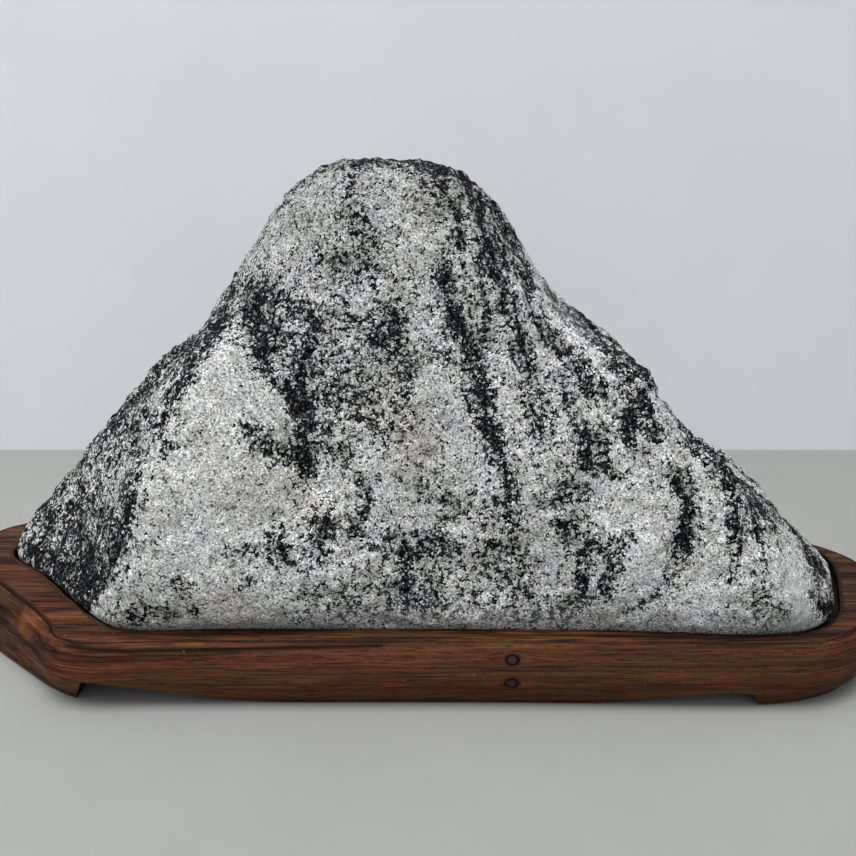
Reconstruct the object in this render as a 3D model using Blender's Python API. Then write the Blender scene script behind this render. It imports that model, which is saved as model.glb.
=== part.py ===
"""A scholar's rock, mountain-shaped, standing in its carved hardwood stand.

Two pieces. The stone is one natural block, lofted through contour lines that run round fourteen
ribs, as a sculptor would draw a hill: each rib climbs from the stone's foot to its summit. Named
ridges and hollows are then pushed into its faces. The stand is one carved block with a shallow
pocket for the stone, a groove round its top face, and two flat arches cut under it, which leave a
left foot, a broad belly and a right foot.

Tables are in millimetres: x along the stand, y back from the front of its groove, and height
above the stand's top face for the stone or above the floor for the stand. The finished pieces are
centred over the origin, with the floor at z = 0.
"""

import bmesh
import bpy
import numpy as np
from mathutils import Vector, noise

MM = 0.001

# Driving dimensions of the stand.
STAND_HEIGHT = 32.0
POCKET_DEPTH = 5.5
POCKET_CLEARANCE = 1.2
POCKET_CLEARANCE_RIGHT = 2.4
RIGHT_END = 175.0
RIGHT_FADE = 20.0
STAND_SHARP_ANGLE = 0.5
GROOVE_DEPTH = 1.1
GROOVE_HALF_WIDTH = 0.9
FOOT_CHAMFER = 1.0
OUTLINE_PITCH = 11.0

# Driving dimensions of the stone.
STONE_HEIGHT = 207.0
SEAT_GAP = 0.3
FOOT_HEIGHTS = (SEAT_GAP - POCKET_DEPTH, -3.0, 0.0, 3.0, 6.5, 10.5, 15.0)
CONTOUR_STEP = 5.2
CROWN_DROPS = (8.5, 5.0, 2.4, 0.8)
RIB_STEPS = 12
LUMP_SIZE = 42.0
LUMP_RISE = 4.2
KNOB_SIZE = 21.0
KNOB_RISE = 2.0
END_WEAR = 0.35
CALM_FOOT = 8.0
STROKE_STEPS = 8
STROKE_WRAP = 1.5
STONE_SHARP_ANGLE = 1.0

SUMMIT = (-26.0, 83.0, STONE_HEIGHT)

# Each rib: how many steps lead to the next rib, then (x, y, height) from the foot upwards.
STONE_RIBS = (
    (4, ((-219, 108, -6), (-225, 109, 0), (-220, 111, 11), (-205, 112, 27), (-183, 112, 53),
         (-156, 107, 83), (-131, 102, 111), (-110, 99, 126), (-102, 97, 141), (-86, 93, 165),
         (-66, 89, 188), (-48, 85, 202))),
    (6, ((-190, 76, -6), (-195, 73, 0), (-186, 73, 12), (-161, 66, 50), (-141, 64, 85),
         (-120, 66, 111), (-98, 63, 132), (-79, 61, 152), (-64, 61, 172), (-42, 71, 200))),
    (2, ((-146, 25, -6), (-150, 20, 0), (-147, 18, 7), (-138, 14, 36), (-133, 17, 62),
         (-122, 27, 86), (-108, 38, 111), (-92, 46, 132), (-58, 56, 172), (-38, 67, 200))),
    (4, ((-133, 18, -6), (-138, 12.5, 0), (-137, 8, 8), (-128, 5, 36), (-123, 7, 60),
         (-114, 16, 86), (-98, 29, 111), (-82, 41, 132), (-54, 53, 172), (-35, 66, 200))),
    (7, ((-88, 18, -6), (-90, 13, 0), (-94, 6, 12), (-98, 4, 30), (-93, 11, 70),
         (-85, 26, 105), (-68, 40, 140), (-44, 51, 172), (-31, 65, 200))),
    (8, ((-20, 17, -6), (-20, 13, 0), (-20, 7, 12), (-20, 6, 32), (-19, 16, 78),
         (-18, 31, 115), (-18, 44, 150), (-18, 53, 175), (-22, 65, 200))),
    (8, ((68, 17, -6), (70, 12, 0), (70, 6, 12), (69, 6, 32), (60, 18, 82),
         (44, 34, 122), (26, 46, 154), (9, 56, 180), (-8, 67, 200))),
    (5, ((170, 19, -6), (176, 13, 0), (172, 8, 10), (155, 8, 36), (130, 17, 70),
         (102, 32, 103), (66, 49, 134), (38, 60, 162), (19, 67, 186), (3, 73, 200))),
    (4, ((195, 60, -6), (201, 57, 0), (190, 55, 14), (166, 56, 38), (130, 60, 72),
         (104, 64, 101), (75, 66, 127), (50, 69, 150), (34, 73, 174), (9, 79, 200))),
    (3, ((204, 99, -6), (210, 103, 0), (198, 104, 12), (175, 101, 34), (131, 97, 68),
         (112, 95, 90), (93, 92, 115), (68, 90, 137), (55, 88, 148), (42, 86, 171),
         (23, 84, 194), (10, 84, 202))),
    (6, ((187, 118, -6), (193, 121, 0), (186, 124, 14), (150, 126, 56), (114, 122, 92),
         (76, 116, 128), (46, 108, 156), (22, 100, 188), (6, 95, 200))),
    (7, ((88, 132, -6), (90, 137, 0), (88, 142, 14), (78, 140, 50), (58, 133, 94),
         (34, 122, 138), (14, 110, 176), (-10, 98, 200))),
    (7, ((-60, 139, -6), (-60, 145, 0), (-61, 150, 14), (-58, 149, 50), (-50, 140, 94),
         (-42, 128, 138), (-35, 113, 176), (-30, 99, 200))),
    (4, ((-200, 132, -6), (-206, 136, 0), (-200, 139, 14), (-168, 140, 56), (-126, 132, 100),
         (-94, 122, 140), (-66, 110, 176), (-44, 97, 200))),
)

# Ridges (rise above zero) and hollows (below zero) on the front face, drawn along (x, height).
FRONT_STROKES = (
    {"name": "left arris", "rise": 3.0, "width": 9.0,
     "path": ((-146, 6), (-134, 38), (-127, 68), (-110, 104), (-90, 126))},
    {"name": "white spur", "rise": 5.0, "width": 19.0,
     "path": ((-88, 116), (-90, 90), (-97, 58), (-104, 28))},
    {"name": "valley beside the spur", "rise": -7.0, "width": 13.0,
     "path": ((-80, 134), (-72, 110), (-60, 94), (-54, 72))},
    {"name": "fold right of the dome", "rise": -3.5, "width": 12.0,
     "path": ((62, 150), (66, 118), (72, 84))},
    {"name": "right shoulder", "rise": 3.5, "width": 13.0,
     "path": ((72, 132), (98, 98), (122, 66))},
    {"name": "right bulge", "rise": 4.0, "width": 17.0,
     "path": ((94, 58), (90, 32))},
    {"name": "curved crease", "rise": -3.0, "width": 6.5,
     "path": ((111, 72), (115, 52), (109, 32), (98, 17), (88, 9))},
    {"name": "nose of the right spur", "rise": 3.0, "width": 13.0,
     "path": ((146, 40), (164, 16))},
)

# The same on the back face.
BACK_STROKES = (
    {"name": "long back spur", "rise": 9.0, "width": 19.0,
     "path": ((14, 160), (34, 104), (50, 34))},
    {"name": "back valley", "rise": -9.0, "width": 17.0,
     "path": ((-26, 150), (-20, 92), (-32, 44))},
    {"name": "left back spur", "rise": 7.0, "width": 17.0,
     "path": ((-78, 128), (-98, 76), (-106, 22))},
    {"name": "left back hollow", "rise": -5.0, "width": 14.0,
     "path": ((-134, 84), (-146, 40))},
    {"name": "right back hollow", "rise": -6.0, "width": 15.0,
     "path": ((88, 98), (108, 48))},
    {"name": "back ledge", "rise": 4.0, "width": 9.0,
     "path": ((-62, 62), (-8, 54), (36, 66))},
)

# The stand's groove line seen from above: (x, y, reach of the waist, reach of the foot), where the
# reaches run outwards from the groove to the side's widest line and to its foot on the floor.
STAND_OUTLINE = (
    (-154, -0.6, 4.5, -5.0),
    (-120, 0.0, 4.5, -3.0),
    (20, 0.0, 4.5, -2.8),
    (110, -1.6, 4.5, -2.8),
    (148, -1.6, 4.5, -2.2),
    (173, 0.0, 4.5, -5.5),
    (194, 13.0, 5.0, -4.5),
    (213, 42.0, 5.0, -4.0),
    (226, 76.0, 5.0, -4.0),
    (224, 100.0, 4.5, -4.0),
    (206, 123.0, 4.5, -3.0),
    (168, 137.0, 4.5, -3.0),
    (80, 151.0, 4.5, -3.0),
    (-60, 161.0, 4.5, -3.0),
    (-170, 162.0, 4.5, -3.0),
    (-222, 158.0, 4.5, -2.0),
    (-243, 144.0, 5.0, 0.0),
    (-248, 122.0, 6.0, 2.0),
    (-239, 94.0, 7.5, 6.0),
    (-214, 64.0, 8.5, 8.0),
    (-186, 34.0, 8.0, 6.0),
    (-174, 19.0, 7.0, 3.0),
    (-165, 5.0, 5.5, -4.0),
)

# The stand's side from its foot to its waist: (share of the way from the foot's reach to the waist's,
# height above the floor). Then its shoulder: (share of the waist's reach, depth below the top face).
STAND_FLANK = ((0.0, 1.0), (0.62, 7.4), (0.95, 14.0), (1.0, 18.5))
STAND_SHOULDER = ((0.86, 7.5), (0.62, 3.2), (0.35, 0.9), (0.2, 0.35))

# Undersides of the two arches, from the outer foot to the belly: (x, height above the floor).
LEFT_ARCH = ((-160, 0.0), (-153, 14.6), (-146, 13.8), (-123, 9.5), (-98, 4.0), (-76, 1.0), (-58, 0.0))
RIGHT_ARCH = ((149, 0.0), (144, 8.0), (136, 9.2), (117, 6.5), (100, 3.6), (86, 1.3), (72, 0.0))
ARCH_STEPS = 3
ARCH_OVERRUN = 10.0

STONE_COLOUR = (0.36, 0.37, 0.38, 1.0)
WOOD_COLOUR = (0.075, 0.034, 0.017, 1.0)


def clear_scene():
    """Remove every object that the start-up file brings."""
    for thing in list(bpy.data.objects):
        bpy.data.objects.remove(thing, do_unlink=True)


def principled(name, colour, roughness):
    """Make a plain non-metallic material."""
    material = bpy.data.materials.new(name)
    material.use_nodes = True
    shader = material.node_tree.nodes["Principled BSDF"]
    shader.inputs["Base Color"].default_value = colour
    shader.inputs["Roughness"].default_value = roughness
    shader.inputs["Metallic"].default_value = 0.0
    material.diffuse_color = colour
    return material


def spline(points, steps, closed=False):
    """Centripetal Catmull-Rom curve; steps is one count, or one for each span."""
    points = np.asarray(points, dtype=float)
    count = len(points)
    if closed:
        padded = np.vstack((points[-1], points, points[:2]))
        spans = count
    else:
        padded = np.vstack((2 * points[0] - points[1], points, 2 * points[-1] - points[-2]))
        spans = count - 1
    if np.isscalar(steps):
        steps = [steps] * spans
    curve = []
    for span in range(spans):
        p0, p1, p2, p3 = padded[span:span + 4]
        t1 = np.sqrt(np.linalg.norm(p1 - p0))
        t2 = t1 + np.sqrt(np.linalg.norm(p2 - p1))
        t3 = t2 + np.sqrt(np.linalg.norm(p3 - p2))
        for t in np.linspace(t1, t2, steps[span], endpoint=False):
            a1 = (p0 * (t1 - t) + p1 * t) / t1
            a2 = (p1 * (t2 - t) + p2 * (t - t1)) / (t2 - t1)
            a3 = (p2 * (t3 - t) + p3 * (t - t2)) / (t3 - t2)
            b1 = (a1 * (t2 - t) + a2 * t) / t2
            b2 = (a2 * (t3 - t) + a3 * (t - t1)) / (t3 - t1)
            curve.append((b1 * (t2 - t) + b2 * (t - t1)) / (t2 - t1))
    if not closed:
        curve.append(points[-1])
    return np.array(curve)


def contour_heights():
    """Heights of the stone's contour lines: close together where it turns under and at the top."""
    crown = [STONE_HEIGHT - drop for drop in CROWN_DROPS]
    slope = np.arange(FOOT_HEIGHTS[-1] + CONTOUR_STEP, crown[0] - CONTOUR_STEP / 2, CONTOUR_STEP)
    return np.array([*FOOT_HEIGHTS, *slope, *crown])


def stone_contours():
    """The stone's smooth contour lines as an array of rings of (x, y, height)."""
    heights = contour_heights()
    at_height = []
    for _, points in STONE_RIBS:
        rib = spline(points + (SUMMIT,), RIB_STEPS)
        climb = np.maximum.accumulate(rib[:, 2])
        x = np.interp(heights, climb, rib[:, 0])
        y = np.interp(heights, climb, rib[:, 1])
        at_height.append(np.column_stack((x, y, heights)))
    at_height = np.array(at_height)
    steps = [count for count, _ in STONE_RIBS]
    return np.array([spline(at_height[:, level], steps, closed=True)
                     for level in range(len(heights))])


def outward_normals(rings):
    """Unit normals of a grid of rings, each ring running anticlockwise seen from above."""
    along = np.roll(rings, -1, axis=1) - np.roll(rings, 1, axis=1)
    up = np.gradient(rings, axis=0)
    normals = np.cross(along, up)
    return normals / np.linalg.norm(normals, axis=2, keepdims=True)


def stroke_weight(x, height, stroke):
    """How strongly a stroke acts at a place on a face, from 1 on its path to 0 far away."""
    path = spline(stroke["path"], STROKE_STEPS)
    away = np.hypot(x[..., None] - path[:, 0], height[..., None] - path[:, 1]).min(axis=-1)
    return np.exp(-(away / stroke["width"]) ** 2)


def weathering(point):
    """Rise of the worn surface at a place: broad lumps with smaller knobs on them."""
    lump = noise.noise(Vector(point) / LUMP_SIZE) * LUMP_RISE
    knob = noise.noise(Vector(point) / KNOB_SIZE + Vector((7, 3, 5))) * KNOB_RISE
    return lump + knob


def shape_stone(rings):
    """Push the ridges, hollows and worn lumps into the smooth contour lines."""
    normals = outward_normals(rings)
    x, height = rings[..., 0], rings[..., 2]
    rise = np.zeros(x.shape)
    for strokes, side in ((FRONT_STROKES, -1.0), (BACK_STROKES, 1.0)):
        facing = np.clip(0.5 + side * normals[..., 1] * STROKE_WRAP, 0.0, 1.0)
        for stroke in strokes:
            rise += stroke["rise"] * stroke_weight(x, height, stroke) * facing
    worn = np.array([[weathering(point) for point in ring] for ring in rings])
    worn *= END_WEAR + (1.0 - END_WEAR) * np.abs(normals[..., 1])
    calm = np.clip(height / CALM_FOOT, 0.0, 1.0)
    return rings + normals * ((rise + worn) * calm)[..., None]


def loft(name, rings, peak=None):
    """Object of quads between closed rings, with a flat floor and a flat or pointed top."""
    work = bmesh.new()
    loops = [[work.verts.new(Vector(point) * MM) for point in ring] for ring in rings]
    for lower, upper in zip(loops, loops[1:]):
        for i in range(len(lower)):
            work.faces.new((lower[i - 1], lower[i], upper[i], upper[i - 1]))
    work.faces.new(reversed(loops[0]))
    if peak is None:
        work.faces.new(loops[-1])
    else:
        tip = work.verts.new(Vector(peak) * MM)
        for i in range(len(loops[-1])):
            work.faces.new((loops[-1][i - 1], loops[-1][i], tip))
    bmesh.ops.recalc_face_normals(work, faces=work.faces)
    mesh = bpy.data.meshes.new(name)
    work.to_mesh(mesh)
    work.free()
    thing = bpy.data.objects.new(name, mesh)
    bpy.context.collection.objects.link(thing)
    return thing


def outline_normals(outline):
    """Unit normals of a closed anticlockwise outline, pointing outwards."""
    along = np.roll(outline, -1, axis=0) - np.roll(outline, 1, axis=0)
    normals = np.column_stack((along[:, 1], -along[:, 0]))
    return normals / np.linalg.norm(normals, axis=1, keepdims=True)


def ring_at(outline, normals, reach, height):
    """The outline moved outwards by reach, at one height."""
    moved = outline + normals * np.reshape(reach, (-1, 1))
    return np.column_stack((moved, np.full(len(moved), height)))


def stand_rings():
    """Rings of the stand's outside, from its foot up its side, over the groove to its top."""
    corners = np.array(STAND_OUTLINE)
    spans = np.linalg.norm(np.roll(corners, -1, axis=0) - corners, axis=1)
    table = spline(corners, np.rint(spans / OUTLINE_PITCH).astype(int), closed=True)
    outline, waist, foot = table[:, :2], table[:, 2], table[:, 3]
    normals = outline_normals(outline)
    lines = [(foot - FOOT_CHAMFER, 0.0)]
    lines += [(foot + share * (waist - foot), height) for share, height in STAND_FLANK]
    lines += [(share * waist, STAND_HEIGHT - depth) for share, depth in STAND_SHOULDER]
    lines += [(0.0 * waist, STAND_HEIGHT - GROOVE_DEPTH)]
    lines += [(0.0 * waist - GROOVE_HALF_WIDTH, STAND_HEIGHT)]
    return [ring_at(outline, normals, reach, height) for reach, height in lines]


def cutter(name, rings):
    """A closed tool body that is only used to cut."""
    tool = loft(name, rings)
    tool.hide_render = True
    tool.display_type = "WIRE"
    return tool


def pocket_cutter(rim):
    """Tool for the pocket: the stone's outline at the rim, with room round it."""
    outline = rim[:, :2]
    normals = outline_normals(outline)
    right = np.clip((outline[:, 0] - RIGHT_END) / RIGHT_FADE, 0.0, 1.0)
    room = POCKET_CLEARANCE + (POCKET_CLEARANCE_RIGHT - POCKET_CLEARANCE) * right
    heights = (STAND_HEIGHT - POCKET_DEPTH, STAND_HEIGHT + POCKET_DEPTH)
    return cutter("pocket_tool", [ring_at(outline, normals, room, height) for height in heights])


def arch_cutter(name, profile, front, back):
    """Tool for an arch: its profile drawn below the floor and run from front to back."""
    underside = spline(profile[1:-1], ARCH_STEPS)
    below_floor = [(profile[-1][0], -ARCH_OVERRUN), (profile[0][0], -ARCH_OVERRUN)]
    outline = [profile[0], *underside, profile[-1], *below_floor]
    return cutter(name, [[(x, y, z) for x, z in outline] for y in (front, back)])


def carve(thing, tools):
    """Cut each tool out of a thing with an exact Boolean."""
    for tool in tools:
        cut = thing.modifiers.new(tool.name, "BOOLEAN")
        cut.operation = "DIFFERENCE"
        cut.solver = "EXACT"
        cut.object = tool


def finish(thing, material, sharp_angle):
    """Shade a piece smooth but for its sharp edges, and give it its material."""
    thing.data.shade_smooth()
    thing.data.set_sharp_from_angle(angle=sharp_angle)
    thing.data.materials.append(material)


def centre_over_origin(things, rings):
    """Move finished pieces so that the stand's outline is centred over the origin."""
    places = np.vstack(rings)
    middle = (places.min(axis=0) + places.max(axis=0)) / 2
    for thing in things:
        thing.location.x = -middle[0] * MM
        thing.location.y = -middle[1] * MM


def build():
    """Make the stone and its stand."""
    clear_scene()
    contours = shape_stone(stone_contours())
    rim = contours[np.argmin(np.abs(contour_heights()))]
    placed = contours + (0.0, 0.0, STAND_HEIGHT)
    summit = np.array(SUMMIT) + (0.0, 0.0, STAND_HEIGHT)
    stone = loft("stone", placed, peak=summit)
    finish(stone, principled("grey banded gneiss", STONE_COLOUR, 0.75), STONE_SHARP_ANGLE)

    outside = stand_rings()
    stand = loft("stand", outside)
    finish(stand, principled("dark stained hardwood", WOOD_COLOUR, 0.5), STAND_SHARP_ANGLE)
    front = min(ring[:, 1].min() for ring in outside) - ARCH_OVERRUN
    back = max(ring[:, 1].max() for ring in outside) + ARCH_OVERRUN
    tools = [
        pocket_cutter(rim),
        arch_cutter("left_arch_tool", LEFT_ARCH, front, back),
        arch_cutter("right_arch_tool", RIGHT_ARCH, front, back),
    ]
    carve(stand, tools)
    centre_over_origin([stone, stand, *tools], outside)


build()
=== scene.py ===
"""A scholar's rock in its carved hardwood stand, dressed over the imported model.

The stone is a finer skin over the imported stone, with the relief and the mineral banding of coarse
gneiss. The stand is carved again at a finer pitch from the same outline, with its groove, pocket,
arches and tool marks.

Tables are in millimetres, as a maker would mark them out: x along the stand, y back from the front
of its groove, and height above the stand's top face for the stone or above the floor for the
stand. ZERO_X and ZERO_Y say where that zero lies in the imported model.
"""

import math

import bpy
import numpy as np
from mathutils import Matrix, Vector, noise


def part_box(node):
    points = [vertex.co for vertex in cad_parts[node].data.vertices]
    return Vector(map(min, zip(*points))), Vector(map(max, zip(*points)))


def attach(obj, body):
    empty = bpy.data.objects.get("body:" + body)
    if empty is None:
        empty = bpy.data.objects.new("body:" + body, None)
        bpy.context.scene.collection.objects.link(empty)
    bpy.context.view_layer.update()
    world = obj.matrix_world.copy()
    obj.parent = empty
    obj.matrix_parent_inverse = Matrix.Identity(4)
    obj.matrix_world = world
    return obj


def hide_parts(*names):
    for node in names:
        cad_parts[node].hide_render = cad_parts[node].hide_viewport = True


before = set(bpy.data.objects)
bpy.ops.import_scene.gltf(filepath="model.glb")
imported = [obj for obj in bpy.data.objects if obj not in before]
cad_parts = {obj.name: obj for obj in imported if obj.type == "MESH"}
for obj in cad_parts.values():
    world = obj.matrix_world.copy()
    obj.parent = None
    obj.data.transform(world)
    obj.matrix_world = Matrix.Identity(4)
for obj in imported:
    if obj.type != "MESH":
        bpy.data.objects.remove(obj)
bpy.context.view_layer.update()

bl_info = {
    "name": "Scholar's rock",
    "version": (1, 0, 0),
    "blender": (4, 5, 0),
    "location": "View3D > Sidebar > Scholar's rock",
    "description": "Builds a mountain-shaped viewing stone of banded gneiss in a carved hardwood stand",
    "category": "Add Mesh",
}

MM = 0.001
ZERO_X = 11.354
ZERO_Y = -80.372
STAND_TOP = 32.0

# Share of dark grains where no mark lies, and how wide and long the streaks along the sheets are.
BARE_SHARE = 0.11
STREAK_WIDTH = 3.2
STREAK_LENGTH = 30.0

# Sheets of the rock's layering, from its left end to its right: where each crosses the front, as
# (x, height). The first number places the sheet, in mm, on a line drawn across all of them.
ROCK_SHEETS = (
    (-210, ((-150, 200), (-165, 90), (-215, 20), (-225, 0))),
    (-140, ((-96, 200), (-96, 141), (-120, 100), (-136, 50), (-150, 5))),
    (-95, ((-72, 200), (-86, 126), (-90, 90), (-100, 49), (-108, 8))),
    (-58, ((-52, 200), (-72, 126), (-58, 92), (-50, 62), (-50, 0))),
    (-16, ((-30, 205), (-22, 166), (-17, 124), (-10, 60), (-8, 0))),
    (22, ((4, 201), (11, 160), (14, 128), (27, 84), (34, 57), (36, 0))),
    (44, ((24, 192), (34, 150), (44, 118), (49, 90), (56, 50), (60, 0))),
    (74, ((36, 200), (52, 150), (70, 112), (74, 84), (72, 40), (70, 0))),
    (106, ((50, 200), (84, 124), (102, 90), (112, 60), (110, 34), (88, 4))),
    (136, ((70, 200), (112, 100), (129, 70), (134, 50), (138, 0))),
    (180, ((100, 200), (150, 70), (178, 30), (184, 0))),
)

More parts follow.
